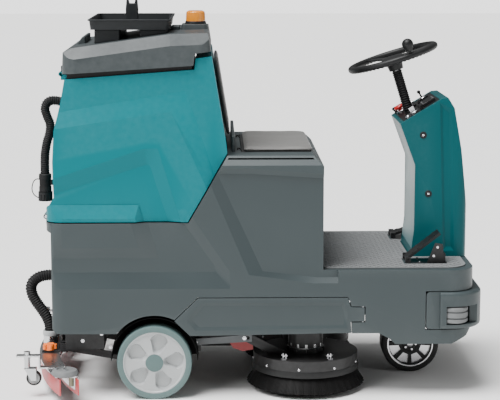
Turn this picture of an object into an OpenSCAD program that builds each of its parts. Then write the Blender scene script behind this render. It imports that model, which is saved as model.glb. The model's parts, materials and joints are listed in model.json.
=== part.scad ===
// Ride-on floor scrubber. +X is forwards, +Y is the machine's left, +Z is up.
// The origin is on the floor, under the middle of the machine.

/* [Overall] */
// Width of the moulded body
body_w = 760; // [700:10:920]
// Distance between the rear and the front axle
wheelbase = 910; // [860:10:1100]
// Wall of the moulded shells
shell_wall = 7; // [5:1:9]

/* [Body] */
// Rear axle to the body's rear wall
rear_overhang = 345; // [320:5:420]
// Front axle to the body's front wall
front_overhang = 179; // [170:5:220]
// Length of the raised seat base, from the foot of the tank
seat_base_len = 323; // [260:5:390]
// Height of the standing platform
floor_z = 443; // [420:1:480]
// Height of the seat base
seat_z = 831; // [790:1:900]

/* [Tanks] */
// Half width of the recovery tank at its foot
tank_half_w = 374; // [340:2:376]
// Height of the tank's rear top edge
tank_top_z = 1085; // [1040:5:1150]

/* [Wheels] */
// Rear wheel diameter
rear_wheel_d = 254; // [230:2:270]
// Rear wheel width
rear_wheel_w = 68; // [50:2:76]
// Drive wheel diameter
front_wheel_d = 206; // [180:2:210]
// Drive wheel width
front_wheel_w = 90; // [60:2:94]
// Stub axle radius
axle_r = 12.5; // [8:0.5:16]

/* [Scrub deck] */
// Radius of a brush at its bristle tips
brush_r = 205; // [190:1:206]
// Height of the bristle tips over the floor, deck raised
brush_lift = 18; // [5:1:25]
// Radius of the steel hood ring
hood_r = 182; // [170:1:190]

/* [Squeegee] */
// Overall width of the squeegee blades
squeegee_w = 956; // [860:4:1100]
// Height of the blade over the floor, squeegee raised
squeegee_lift = 41; // [20:1:60]
// Caster wheel radius
caster_r = 26; // [18:1:30]

/* [Steering] */
// Steering wheel diameter
steering_d = 328; // [280:2:360]
// Backward lean of the steering axis
steer_tilt = 17.3; // [10:0.1:25]
// Width of the steering column cover
column_w = 300; // [260:2:320]

/* [Clearances] */
// Gap between parts that move past each other
move_gap = 2.5; // [1.5:0.5:4]
// Radial clearance of a running fit
run_gap = 0.05; // [0.02:0.01:0.1]
// Gap between shells that sit on each other
seat_gap = 0.4; // [0.3:0.1:1]

/* [Hidden] */
$fn = 64;

half_w = body_w / 2;
rear_axle_x = -323;
front_axle_x = rear_axle_x + wheelbase;
body_rear = rear_axle_x - rear_overhang;
body_front = front_axle_x + front_overhang;
skirt_z = 228;
nose_z = 188;
seam_z = 606;
seam_gap = 4;
lip = 17;
lip_x = body_rear - lip;
lip_z = 577;
toe_low_x = rear_axle_x + 118;
toe_top_x = toe_low_x + 131;
seat_front = toe_top_x + seat_base_len;
seat_bevel = 33;
side_bevel = 30;
rear_r = rear_wheel_d / 2;
front_r = front_wheel_d / 2;
arch_r = rear_r + 31;
arch_depth = rear_wheel_w + 26;
wheel_face_y = half_w + 4;

// Steel frame
rail_y = 115;
rail_w = 30;
rail_z0 = 232;
rail_h = 40;
rail_top = rail_z0 + rail_h;
battery_z = 330;

// Scrub deck
brush_x = seat_front - 50;
brush_y = 207;
hood_z0 = 54 + brush_lift;
hood_top = 110 + brush_lift;
motor_r = 60;
arm_y = 268;
arm_pivot = [rear_axle_x + 139, 171];
arm_pin = [brush_x - 209, 186];

// Squeegee, an arc seen from above
squeegee_r = 1108;
squeegee_x = body_rear - 44;
arc_x = squeegee_x + squeegee_r;
plate_z = 56 + squeegee_lift;
plate_t = 5;
plate_half = squeegee_w / 2 - 22;
arm_front = [rear_axle_x - 79, 75];
arm_rear = [body_rear + 16, plate_z + 18];
squeegee_arm_y = 130;
caster_y = 340;
caster_x = squeegee_x - 46;
caster_trail = 22;
caster_z = squeegee_lift + caster_r;
guard_r = 44;
guard_y = plate_half - 16;
guard_x = arc_x - sqrt(pow(squeegee_r, 2) - pow(guard_y, 2));
knob_y = 118;

// Steering column; its cover stands on the platform
column_x = front_axle_x - 17;
column_foot = 198;
steer_base = [front_axle_x - 10, 933];
rim_up = 211;
shaft_r = 10;
shaft_down = 500;
dash_low = [front_axle_x - 59, floor_z + 471];
dash_high = [front_axle_x + 85, floor_z + 559];
dash_angle = atan2(dash_high[1] - dash_low[1], dash_high[0] - dash_low[0]);
dash_len = norm(dash_high - dash_low);
knob_turn = 71;
rim_tube = 12;
rim_r = steering_d / 2 - rim_tube;

// Bumper and its rollers
bumper_x = front_axle_x + 12;
bumper_z0 = 240;
bumper_z1 = 368;
bumper_out = 31;
bumper_side = 12;
roller_r = 50;
roller_z0 = 260;
roller_h = 55;
roller_x = front_axle_x + 108;
roller_y = half_w - 36;

// Doors over the scrub deck
door_t = 12;
door_hinge = [rear_axle_x + 707, half_w - door_t / 2];
door_pin_r = 3;

// Tank and lid hinges
tank_hinge = [lip_x - 10, seam_z + 2];
tank_pin_r = 5;
lid_hinge = [body_rear + 32, tank_top_z + 11];
lid_pin_r = 4;
seat_hinge = [toe_top_x + 41, seat_z + 1];
seat_pin_r = 3;
lid_dz = tank_top_z - 1085;

// Hoses: centre lines, chosen by eye as round numbers
suction_hose_r = 21;
suction_route = [
    [-650, 0, 352], [-692, 0, 354], [-727, 0, 353], [-758, 0, 342],
    [-777, 0, 318], [-776, 0, 288], [-762, 0, 258], [-742, 0, 228],
    [-724, 0, 198], [-714, 0, 168], [-712, 0, 140], [-712, 0, 118]
];
drain_hose_r = 17;
drain_route = [
    [-640, -90, 985], [-668, -90, 992], [-694, -90, 988], [-706, -90, 966],
    [-700, -90, 938], [-690, -90, 910], [-692, -90, 880], [-702, -90, 846],
    [-709, -90, 808], [-711, -90, 768], [-711, -90, 735]
];

// ---------- shared shapes ----------

// Extrudes an (x, z) outline from y0 to y1
module along_y(y0, y1) {
    translate([0, y1, 0]) rotate([90, 0, 0]) linear_extrude(y1 - y0) children();
}

// Extrudes a (y, z) outline from x0 to x1
module along_x(x0, x1) {
    translate([x0, 0, 0]) rotate([90, 0, 90]) linear_extrude(x1 - x0) children();
}

// A round bar along Y
module bar_y(r, y0, y1) {
    translate([0, y0, 0]) rotate([-90, 0, 0]) cylinder(r = r, h = y1 - y0);
}

// A box from its lowest to its highest corner
module block(low, high) {
    translate(low) cube(high - low);
}

module both_sides() {
    children();
    mirror([0, 1, 0]) children();
}

module plan_outline(x0, x1, half, back_r, nose_r) {
    translate([x0 + back_r, -half]) square([x1 - x0 - back_r - nose_r, 2 * half]);
    translate([x0, back_r - half]) square([back_r + 1, 2 * (half - back_r)]);
    translate([x1 - nose_r - 1, nose_r - half]) square([nose_r + 1, 2 * (half - nose_r)]);
    for (s = [-1, 1]) {
        translate([x0 + back_r, s * (half - back_r)]) circle(back_r);
        translate([x1 - nose_r, s * (half - nose_r)]) circle(nose_r);
    }
}

module plan_block(x0, x1, half, back_r, nose_r, z0, z1) {
    translate([0, 0, z0]) linear_extrude(z1 - z0) plan_outline(x0, x1, half, back_r, nose_r);
}

// Each outline point is [x, z, inward x, inward z]; w moves the outline inwards
function inset(points, w) = [for (p = points) [p[0] + p[2] * w, p[1] + p[3] * w]];

// A tube or rope swept along a route, as one closed polyhedron
function ring_side(path, i) =
    let (a = path[max(i - 1, 0)], b = path[min(i + 1, len(path) - 1)], t = b - a)
    t / norm(t);
function sweep_points(path, r, n) = [
    for (i = [0 : len(path) - 1])
        let (t = ring_side(path, i), u = [0, 1, 0], v = cross(t, u))
        for (k = [0 : n - 1]) path[i] + r * (cos(360 * k / n) * u + sin(360 * k / n) * v)
];
function sweep_faces(rings, n) = concat(
    [[for (k = [0 : n - 1]) k]],
    [[for (k = [n - 1 : -1 : 0]) (rings - 1) * n + k]],
    [for (i = [0 : rings - 2]) for (k = [0 : n - 1])
        [i * n + k, (i + 1) * n + k, (i + 1) * n + (k + 1) % n, i * n + (k + 1) % n]]
);
module swept_tube(path, r, n = 12) {
    polyhedron(sweep_points(path, r, n), sweep_faces(len(path), n));
}

// ---------- frame and body ----------

module stub_axles() {
    both_sides() {
        translate([rear_axle_x, 0, rear_r]) bar_y(axle_r, rail_y, wheel_face_y - 14);
        translate([rear_axle_x, 0, rear_r]) bar_y(20, rail_y + rail_w, wheel_face_y - rear_wheel_w - 6);
    }
}

module chassis_frame() color([0.08, 0.08, 0.09]) difference() {
    union() {
        both_sides() {
            // Rails, rear axle hangers and the hangers of the deck arms
            block([body_rear + 26, rail_y - rail_w / 2, rail_z0],
                [body_front - 22, rail_y + rail_w / 2, rail_top]);
            block([rear_axle_x - 30, rail_y + 5, rear_r - 26], [rear_axle_x + 30, rail_y + rail_w, rail_z0 + 4]);
            block([arm_pivot[0] - 18, arm_y - 22, arm_pivot[1] - 36], [arm_pivot[0] + 18, arm_y - 12, rail_z0 + 12]);
            translate([arm_pivot[0], 0, arm_pivot[1]]) bar_y(7, arm_y - 20, arm_y + 9);
            // Side plates beside the rear wheels' back
            block([body_rear + 35, 268, 150], [body_rear + 168, 276, rail_z0 + 20]);
            // Lugs of the squeegee arms
            block([arm_front[0] - 16, squeegee_arm_y - 16, arm_front[1] - 16],
                [arm_front[0] + 16, squeegee_arm_y - 8, rail_z0 + 4]);
            translate([arm_front[0], 0, arm_front[1]]) bar_y(6, squeegee_arm_y - 14, squeegee_arm_y + 8);
            // Posts of the battery tray
            for (x = [toe_top_x - 60, seat_front - 50])
                block([x, rail_y - 12, rail_top - 1], [x + 24, rail_y + 12, battery_z]);
        }
        // Cross members
        for (x = [body_rear + 60, arm_front[0] - 16, arm_pivot[0] - 18])
            block([x, -276, rail_z0], [x + 32, 276, rail_z0 + 24]);
        block([brush_x + 26, -rail_y, rail_z0], [brush_x + 50, rail_y, rail_top]);
        block([brush_x + 120, -rail_y, rail_z0], [brush_x + 144, 300, rail_z0 + 8]);
        block([brush_x + 120, 160, rail_z0], [brush_x + 260, 300, rail_z0 + 8]);
        block([toe_top_x - 85, -286, battery_z - 6], [seat_front - 22, 286, battery_z]);
        // Steering bearing plate and housing
        block([front_axle_x - 70, -rail_y, rail_z0], [body_front - 30, rail_y, rail_z0 + 10]);
        translate([front_axle_x, 0, rail_z0]) cylinder(r = 42, h = 58);
        stub_axles();
    }
    translate([front_axle_x, 0, rail_z0 - 1]) cylinder(r = 20 + run_gap, h = 70);
}

function body_outline() = [
    [body_rear + 13, skirt_z, 0, -30], [body_rear, skirt_z + 14, 1, -30],
    [body_rear, lip_z - 5, 1, 0], [lip_x, lip_z, 3, 0], [lip_x, seam_z, 3.4, -1],
    [toe_low_x, seam_z, 0.576, -1], [toe_top_x, seat_z, 0.576, -1],
    [seat_front - seat_bevel, seat_z, -0.4, -1], [seat_front, seat_z - seat_bevel, -1, -0.4],
    [seat_front, floor_z, -1, -1], [body_front, floor_z, -1, -1],
    [body_front, nose_z + 60, -1, -40], [body_front - 26, nose_z + 24, 0, -40],
    [body_front - 80, nose_z, 0, -40], [front_axle_x - 93, nose_z, 0, -40],
    [front_axle_x - 110, nose_z + 18, 0, -40], [front_axle_x - 149, skirt_z - 2, 0, -30]
];

module body_form(w) intersection() {
    along_y(w - half_w, half_w - w) polygon(inset(body_outline(), w));
    plan_block(lip_x + w, body_front - w, half_w - w, 60, 90, -100, seat_z + 10);
    along_x(lip_x - 5, body_front + 5) polygon([
        [w - half_w, -110], [w - half_w, seat_z - side_bevel - 0.4 * w],
        [side_bevel + 0.4 * w - half_w, seat_z - w + 0.01], [half_w - side_bevel - 0.4 * w, seat_z - w + 0.01],
        [half_w - w, seat_z - side_bevel - 0.4 * w], [half_w - w, -110]
    ]);
}

// Outline of the hinged door; g is the gap around it
module door_outline(g) {
    x0 = rear_axle_x + 68;
    polygon([
        [x0 - 1.4 * g, 271], [x0 + 80 - 0.4 * g, 350 + g], [x0 + 588, 350 + g], [x0 + 598 + g, 318 + g],
        [door_hinge[0] + 6 + g, 316 + g], [door_hinge[0] + 6 + g, 267 - g],
        [x0 + 598 + g, 266 - g], [x0 + 601 + g, skirt_z - 1 - 8 * g], [x0 + 53 - 0.4 * g, skirt_z - 9 - 8 * g]
    ]);
}

module lower_body() color([0.33, 0.375, 0.385]) difference() {
    union() {
        difference() {
            body_form(0);
            body_form(shell_wall);
        }
        // Wheel arch liners, kept inside the shell
        intersection() {
            body_form(0);
            both_sides() translate([rear_axle_x, 0, rear_r + 6])
                bar_y(arch_r + 5, half_w - arch_depth - 5, half_w - 1);
        }
        // Upstand behind the seat
        block([toe_top_x + 15, -250, seat_z - 3], [toe_top_x + 27, 250, seat_z + 54]);
        // Ledge that carries the seat plate
        block([toe_top_x + 33, -262, seat_z - 18], [toe_top_x + 294, 262, seat_z - 11]);
        both_sides() {
            // Bosses for the door hinge pins
            for (z = [[250, 264 - move_gap], [319 + move_gap, 336]])
                block([door_hinge[0] - 8, half_w - 20, z[0]], [door_hinge[0] + 16, half_w - 3, z[1]]);
            // Knuckles of the tank hinge
            for (y = [166, 224]) {
                translate([tank_hinge[0], 0, tank_hinge[1]]) bar_y(9, y, y + 14);
                block([tank_hinge[0], y, lip_z + 6], [lip_x + 3, y + 14, seam_z]);
            }
            // Knuckles of the seat hinge
            for (y = [164, 196]) translate([seat_hinge[0], 0, seat_hinge[1] - 12])
                block([-6, y, 0], [4, y + 10, 17]);
        }
    }
    both_sides() {
        translate([rear_axle_x, 0, rear_r + 6]) bar_y(arch_r, half_w - arch_depth, half_w + 5);
        along_y(half_w - 40, half_w + 5) intersection() {
            door_outline(move_gap);
            translate([-2000, 0]) square([4000, 1000]);
        }
        translate([door_hinge[0], door_hinge[1], 249]) cylinder(r = door_pin_r + run_gap, h = 86);
        translate([tank_hinge[0], 0, tank_hinge[1]]) bar_y(tank_pin_r + run_gap, 160, 244);
        translate([seat_hinge[0], 0, seat_hinge[1]]) bar_y(seat_pin_r + run_gap, 160, 210);
        // Pocket for the seat plate's knuckle
        block([seat_hinge[0] - 8, 173, seat_z - 10], [seat_hinge[0] + 12, 197, seat_z + 9]);
    }
    bumper_recess();
    // Battery opening and the rebate of the seat plate
    block([toe_top_x + 52, -225, seat_z - 40], [toe_top_x + 276, 225, seat_z + 5]);
    block([toe_top_x + 47, -256, seat_z - 11], [toe_top_x + 287, 256, seat_z + 5]);
    // Way down through the platform for the steering gear
    block([column_x + 30, -100, floor_z - 30], [body_front - 12, 100, floor_z + 5]);
    translate([body_rear - 5, 0, 353]) rotate([0, 90, 0]) cylinder(r = suction_hose_r + 2, h = 40);
}

module bumper_recess() {
    depth = 64;
    difference() {
        block([bumper_x - 3, -half_w - 5, bumper_z0 - 3], [body_front + 5, half_w + 5, bumper_z1 + 3]);
        block([bumper_x - 5, depth - half_w, 0], [body_front - depth, half_w - depth, 500]);
    }
}

module front_bumper() color([0.33, 0.375, 0.385]) difference() {
    intersection() {
        plan_block(bumper_x - 300, body_front + bumper_out, half_w + bumper_side, 60, 112, bumper_z0, bumper_z1);
        block([bumper_x, -half_w - 20, bumper_z0], [body_front + 60, half_w + 20, bumper_z1]);
    }
    plan_block(bumper_x - 400, body_front - 56, half_w - 58, 50, 60, bumper_z0 - 1, bumper_z1 + 1);
    both_sides() {
        translate([roller_x, roller_y, roller_z0 - 4]) cylinder(r = roller_r + 6, h = roller_h + 8);
        translate([roller_x, roller_y, bumper_z0 - 1]) cylinder(r = 6 + run_gap, h = bumper_z1 - bumper_z0 - 20);
        // Mouth of the roller pocket, round to the front
        translate([roller_x, roller_y, roller_z0 - 4])
            cube([body_front + 70 - roller_x, half_w + 40 - roller_y, roller_h + 8]);
    }
    // The middle of the bumper is a thin band
    block([bumper_x, -240, bumper_z0 - 1], [body_front - 8, 240, bumper_z1 + 1]);
    // Step in the bumper's tail, so that the door has room
    both_sides() along_x(bumper_x - 1, bumper_x + 46)
        polygon([[half_w + 1, bumper_z0 - 5], [half_w + 40, bumper_z0 - 5], [half_w + 40, bumper_z1 + 5],
            [half_w + 1, bumper_z1 + 5]]);
}

module bumper_roller(s) color([0.35, 0.39, 0.4]) translate([roller_x, s * roller_y, roller_z0]) difference() {
    union() {
        cylinder(r = roller_r, h = roller_h);
        translate([0, 0, -2]) cylinder(r = 12, h = roller_h + 4);
    }
    translate([0, 0, -3]) cylinder(r = 6 + 2 * run_gap, h = roller_h + 6);
    for (z = [14, 36]) translate([0, 0, z]) difference() {
        cylinder(r = roller_r + 1, h = 5);
        translate([0, 0, -1]) cylinder(r = roller_r - 4, h = 7);
    }
}

module hinge_pins() color([0.7, 0.7, 0.72]) both_sides() {
    translate([door_hinge[0], door_hinge[1], 250]) cylinder(r = door_pin_r, h = 84);
    translate([tank_hinge[0], 0, tank_hinge[1]]) bar_y(tank_pin_r, 162, 242);
    translate([seat_hinge[0], 0, seat_hinge[1]]) bar_y(seat_pin_r, 162, 208);
    translate([roller_x, roller_y, bumper_z0]) cylinder(r = 6, h = bumper_z1 - bumper_z0 - 22);
}

module side_door(s) color([0.31, 0.355, 0.365]) mirror([0, (1 - s) / 2, 0]) difference() {
    union() {
        intersection() {
            along_y(half_w - door_t, half_w) door_outline(0);
            block([-1000, 0, skirt_z - 9], [2000, 1000, 400]);
        }
        translate([rear_axle_x + 230, half_w - door_t - 5, 300]) cube([180, 6, 14]);
    }
    translate([door_hinge[0], door_hinge[1], 200]) cylinder(r = door_pin_r + run_gap, h = 200);
    // Shallow finger recess at the middle of the top edge
    along_y(half_w - 5, half_w + 1) translate([rear_axle_x + 300, 326]) square([90, 12]);
}

module foot_mat() color([0.3, 0.32, 0.33]) difference() {
    plan_block(seat_front + 5, body_front - 22, half_w - 34, 12, 74, floor_z + 0.3, floor_z + 4.3);
    plan_block(column_x - 4, column_x + column_foot + 4, column_w / 2 + 4, 12, 30, floor_z - 1, floor_z + 9);
    both_sides() block([front_axle_x - 54, half_w - 195, floor_z - 1], [front_axle_x + 94, half_w - 97, floor_z + 9]);
}

module battery_pack() color([0.12, 0.12, 0.13]) for (i = [0, 1]) for (s = [-1, 1]) {
    x0 = toe_top_x - 76 + i * 182;
    difference() {
        union() {
            block([x0, s > 0 ? 3 : -273, battery_z + 0.3], [x0 + 176, s > 0 ? 273 : -3, battery_z + 252]);
            for (p = [40, 136]) translate([x0 + p, s * 230, battery_z + 250]) cylinder(r = 9, h = 18);
        }
        block([x0 + 20, s > 0 ? 60 : -216, battery_z + 240], [x0 + 156, s > 0 ? 216 : -60, battery_z + 260]);
    }
}

module solution_tank() color([0.85, 0.86, 0.82]) difference() {
    x1 = toe_top_x - 100;
    high = seam_z - shell_wall - 9;
    plan_block(body_rear + 30, x1, half_w - arch_depth - 9, 30, 30, rail_top + 12, high);
    plan_block(body_rear + 34, x1 - 4, half_w - arch_depth - 13, 26, 26, rail_top + 16, high - 4);
    translate([body_rear + 120, 150, high - 5]) cylinder(r = 45, h = 10);
}

module vacuum_motor() color([0.16, 0.16, 0.17]) translate([brush_x + 190, 230, rail_z0 + 8.3]) difference() {
    union() {
        cylinder(r = 66, h = 60);
        cylinder(r = 52, h = 118);
        translate([60, 0, 14]) rotate([0, 90, 0]) cylinder(r = 12, h = 24);
    }
    translate([0, 0, 100]) cylinder(r = 20, h = 30);
}

// ---------- steering column ----------

function column_outline() = [
    [column_x, floor_z + seat_gap, 1, 1], [column_x + 11, floor_z + 98, 1, 0],
    [column_x + 11, floor_z + 327, 1, 0], [dash_low[0], dash_low[1], 0.8, -1],
    [dash_high[0], dash_high[1], 0, -1.2], [dash_high[0] + 22, dash_high[1] + 2, -0.6, -1],
    [dash_high[0] + 44, dash_high[1] - 34, -1, 0], [front_axle_x + 156, floor_z + 380, -1, 0],
    [front_axle_x + 179, floor_z + 186, -1, 0], [column_x + column_foot, floor_z + seat_gap, -1, 1]
];

module column_form(w) intersection() {
    along_y(w - column_w / 2, column_w / 2 - w) polygon(inset(column_outline(), w));
    plan_block(column_x - 60 + w, column_x + column_foot - w, column_w / 2 - w, 12, 40, 0, 1200);
}

module column_cover() color([0, 0.49, 0.51]) difference() {
    column_form(0);
    column_form(shell_wall);
    // Rear face, closed by its own panel
    along_y(-column_w / 2 + 14, column_w / 2 - 14) polygon([
        [column_x - 80, floor_z + 30], [column_x + 26, floor_z + 30], [column_x + 26, floor_z + 330],
        [dash_low[0] + 16, dash_low[1] - 22], [dash_low[0] - 40, dash_low[1] - 22]
    ]);
    // Dash opening
    in_dash() block([14, -column_w / 2 + 14, -30], [dash_len - 8, column_w / 2 - 14, 30]);
    // Open foot
    block([column_x + 16, -column_w / 2 + 16, floor_z - 5], [column_x + column_foot - 14, column_w / 2 - 16, floor_z + 20]);
    both_sides() for (p = screw_places()) translate([p[0], 0, p[1]]) bar_y(4.2, column_w / 2 - 20, column_w / 2 + 1);
}

function screw_places() = [[front_axle_x + 21, floor_z + 432], [front_axle_x + 42, floor_z + 226]];

module column_rear_panel() color([0.42, 0.62, 0.63]) along_y(-column_w / 2 + 14 + seat_gap, column_w / 2 - 14 - seat_gap)
    polygon([
        [column_x + 3, floor_z + 31], [column_x + 11 + seat_gap, floor_z + 98], [column_x + 11 + seat_gap, floor_z + 327],
        [dash_low[0] + 9, dash_low[1] - 23], [dash_low[0] + 15, dash_low[1] - 23],
        [column_x + 17, floor_z + 328], [column_x + 17, floor_z + 98], [column_x + 9, floor_z + 31]
    ]);

module in_dash() {
    translate([dash_low[0], 0, dash_low[1]]) rotate([0, -dash_angle, 0]) children();
}

module in_steer() {
    translate([steer_base[0], 0, steer_base[1]]) rotate([0, -steer_tilt, 0]) children();
}

// Places on the dash: [along the slope, across]
estop_at = [36, 96];
key_at = [62, -96];
lever_at = [124, 84];
display_at = [126, -60];

module dash_panel() color([0.12, 0.13, 0.14]) difference() {
    in_dash() union() {
        block([14 + seat_gap, -column_w / 2 + 14 + seat_gap, -6],
            [dash_len - 8 - seat_gap, column_w / 2 - 14 - seat_gap, -1]);
        block([display_at[0] - 24, display_at[1] - 34, -2], [display_at[0] + 24, display_at[1] + 34, 9]);
        translate([key_at[0], key_at[1], -2]) cylinder(r = 15, h = 6);
        translate([estop_at[0], estop_at[1], -2]) cylinder(r = 17, h = 6);
        block([lever_at[0] - 20, lever_at[1] - 14, -2], [lever_at[0] + 20, lever_at[1] + 14, 4]);
    }
    in_steer() translate([0, 0, -60]) cylinder(r = 17, h = 140);
    in_dash() {
        translate([key_at[0], key_at[1], -8]) cylinder(r = 9 + run_gap, h = 20);
        translate([estop_at[0], estop_at[1], -8]) cylinder(r = 8 + run_gap, h = 20);
        block([lever_at[0] - 14, lever_at[1] - 5, -8], [lever_at[0] + 14, lever_at[1] + 5, 6]);
    }
}

module key_switch() color([0.75, 0.75, 0.78]) in_dash() translate([key_at[0], key_at[1], 0]) {
    translate([0, 0, -5]) cylinder(r = 9, h = 12);
    block([-9, -2, 6], [9, 2, 24]);
}

module emergency_stop() color([0.75, 0.05, 0.05]) in_dash() translate([estop_at[0], estop_at[1], 0]) {
    translate([0, 0, -7]) cylinder(r = 8, h = 20);
    translate([0, 0, 12]) cylinder(r1 = 16, r2 = 19, h = 8);
    translate([0, 0, 20]) cylinder(r1 = 19, r2 = 14, h = 5);
}

module direction_lever() color([0.1, 0.1, 0.11]) in_dash() translate([lever_at[0], lever_at[1], -3]) {
    rotate([-90, 0, 0]) translate([0, 0, -4.5]) cylinder(r = 4, h = 9);
    cylinder(r = 3.2, h = 30);
    translate([0, 0, 32]) sphere(r = 6.5);
}

module cover_screws() color([0.1, 0.1, 0.1]) both_sides() for (p = screw_places()) translate([p[0], 0, p[1]]) {
    bar_y(4, column_w / 2 - 16, column_w / 2 + 0.4);
    bar_y(12, column_w / 2 + 0.3, column_w / 2 + 3.3);
}

module steering_bellows() color([0.07, 0.07, 0.08]) in_steer() difference() {
    union() {
        translate([0, 0, -8]) cylinder(r = 15.5, h = 138);
        for (i = [0 : 7]) translate([0, 0, 24 + 12 * i]) cylinder(r = 18, h = 6);
    }
    translate([0, 0, -20]) cylinder(r = 12, h = 200);
}

module steering_shaft() color([0.65, 0.66, 0.68]) in_steer() {
    translate([0, 0, -shaft_down]) cylinder(r = shaft_r, h = shaft_down + rim_up - 40);
}

module steering_gearbox() color([0.25, 0.26, 0.27]) difference() {
    union() {
        in_steer() translate([0, 0, -shaft_down - 10]) cylinder(r = 24, h = 70);
        block([front_axle_x - 34, -32, rail_z0 + 76], [front_axle_x + 161, 32, rail_z0 + 120]);
        block([front_axle_x + 117, -22, rail_z0 + 10.3], [front_axle_x + 161, 22, floor_z + 3]);
    }
    in_steer() translate([0, 0, -shaft_down - 1]) cylinder(r = shaft_r + run_gap, h = 80);
    translate([front_axle_x, 0, rail_z0 + 60]) cylinder(r = 16 + run_gap, h = 44);
}

module steering_wheel() color([0.07, 0.07, 0.08]) in_steer() translate([0, 0, rim_up]) {
    difference() {
        union() {
            rotate_extrude() translate([rim_r, 0]) circle(rim_tube);
            translate([0, 0, -46]) cylinder(r = 30, h = 40);
            translate([0, 0, -8]) cylinder(r = 42, h = 10);
            for (a = [0, 120, 240]) rotate([0, 0, a]) spoke();
        }
        translate([0, 0, -60]) cylinder(r = shaft_r + run_gap, h = 22);
    }
    rotate([0, 0, -knob_turn]) translate([rim_r, 0, 6]) cylinder(r = 5, h = 26);
}

module spoke() {
    along_y(-15, 15) polygon([[26, -10], [26, 0], [rim_r - 4, 4], [rim_r - 4, -5]]);
}

module spinner_knob() color([0.06, 0.06, 0.07]) in_steer() rotate([0, 0, -knob_turn]) translate([rim_r, 0, rim_up + 18]) difference() {
    union() {
        cylinder(r1 = 12, r2 = 17, h = 10);
        translate([0, 0, 24]) sphere(r = 20);
    }
    translate([0, 0, -1]) cylinder(r = 5 + run_gap, h = 22);
}

// ---------- pedals ----------

accel_y = half_w - 146;
pedal_pivot = [front_axle_x - 41, floor_z + 17];
pedal_w = 66;

module pedal_bracket(slope) {
    top = floor_z + 5;
    difference() {
        union() {
            block([front_axle_x - 42, -pedal_w / 2 - 11, floor_z + 0.4], [front_axle_x + 90, pedal_w / 2 + 11, top]);
            for (s = [-1, 1]) block([front_axle_x - 50, s * (pedal_w / 2 + 6) - 4, floor_z + 5.5],
                [front_axle_x - 32, s * (pedal_w / 2 + 6) + 4, floor_z + 26]);
            for (s = [-1, 1]) block([front_axle_x - 42, s * (pedal_w / 2 + 6) - 4, top - 1],
                [front_axle_x - 34, s * (pedal_w / 2 + 6) + 4, floor_z + 12]);
            // Side cheek with its fixing bolts
            along_y(-pedal_w / 2 - 10, -pedal_w / 2 - 4) polygon([
                [front_axle_x + 24, top - 1], [front_axle_x + 84, top - 1],
                [front_axle_x + 78, floor_z + slope], [front_axle_x + 52, floor_z + slope + 4]]);
            // Potentiometer box
            if (slope > 50) block([front_axle_x + 66, -pedal_w / 2 - 2, top - 1],
                [front_axle_x + 89, pedal_w / 2, floor_z + 36]);
        }
        translate([pedal_pivot[0], 0, pedal_pivot[1]]) bar_y(4 + run_gap, -60, 60);
        for (x = [20, 62]) for (s = [-1, 1]) translate([front_axle_x - 20 + x, s * (pedal_w / 2 + 0.5), floor_z - 1])
            cylinder(r = 2.6, h = 10);
    }
}

module pedal_brackets() color([0.1, 0.1, 0.11]) {
    translate([0, -accel_y, 0]) pedal_bracket(70);
    translate([0, accel_y, 0]) pedal_bracket(20);
}

module pedal_plate(tilt, reach) {
    translate([pedal_pivot[0], 0, pedal_pivot[1]]) {
        bar_y(4, -pedal_w / 2 - 9, pedal_w / 2 + 9);
        rotate([0, -tilt, 0]) {
            block([-6, -pedal_w / 2, -3], [reach, pedal_w / 2, 6]);
            for (i = [1 : 5]) block([i * reach / 6, 4 - pedal_w / 2, 5], [i * reach / 6 + 6, pedal_w / 2 - 4, 8]);
        }
    }
}

module accelerator_pedal() color([0.1, 0.1, 0.11]) translate([0, -accel_y, 0]) pedal_plate(38, 142);

module brake_pedal() color([0.1, 0.1, 0.11]) translate([0, accel_y, 0]) pedal_plate(14, 120);

// ---------- wheels ----------

module drive_fork() color([0.2, 0.21, 0.22]) {
    leg_y = front_wheel_w / 2 + 6;
    translate([front_axle_x, 0, 0]) {
        translate([0, 0, front_r + 110]) cylinder(r = 20, h = rail_z0 + 74 - front_r - 110);
        translate([0, 0, rail_z0 + 72]) cylinder(r = 16, h = 28);
        block([-40, -46, front_r + 110], [40, leg_y + 10, front_r + 122]);
        block([-40, leg_y, front_r - 40], [40, leg_y + 10, front_r + 111]);
        translate([0, 0, front_r]) bar_y(axle_r, -front_wheel_w / 2 + 8, leg_y + 4);
        translate([0, 0, front_r]) bar_y(50, leg_y + 9, leg_y + 112);
    }
}

module front_wheel() color([0.1, 0.1, 0.1]) translate([front_axle_x, 0, front_r]) {
    rotate([90, 0, 0]) {
        rotate_extrude($fn = 96) difference() {
            translate([front_r - 21, -front_wheel_w / 2]) square([21, front_wheel_w]);
            for (s = [-1, 1]) translate([front_r, s * front_wheel_w / 2]) rotate(45) square([9, 9], center = true);
        }
        difference() {
            cylinder(r = front_r - 21, h = front_wheel_w - 12, center = true);
            cylinder(r = axle_r + run_gap, h = 200, center = true);
            for (s = [-1, 1]) translate([0, 0, s * (front_wheel_w / 2 - 12)])
                for (a = [0 : 45 : 315]) rotate([0, 0, a]) translate([52, 0, 0]) cylinder(r = 13, h = 20, center = true);
        }
    }
}

module rear_wheel(s) color([0.75, 0.76, 0.77]) translate([rear_axle_x, s * (wheel_face_y - rear_wheel_w / 2), rear_r])
    rotate([90, 0, 0]) {
        rotate_extrude($fn = 96) difference() {
            translate([rear_r - 20, -rear_wheel_w / 2]) square([20, rear_wheel_w]);
            for (k = [-1, 1]) translate([rear_r, k * rear_wheel_w / 2]) rotate(45) square([8, 8], center = true);
        }
        difference() {
            cylinder(r = rear_r - 20, h = rear_wheel_w - 6, center = true);
            translate([0, 0, s * 12]) cylinder(r = axle_r + run_gap, h = rear_wheel_w, center = true);
            // Five petal recesses on the outer face
            for (a = [0 : 72 : 288]) rotate([0, 0, a]) translate([64, 0, -s * (rear_wheel_w / 2 - 3)])
                cylinder(r = 27, h = 16, center = true);
        }
    }

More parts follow.
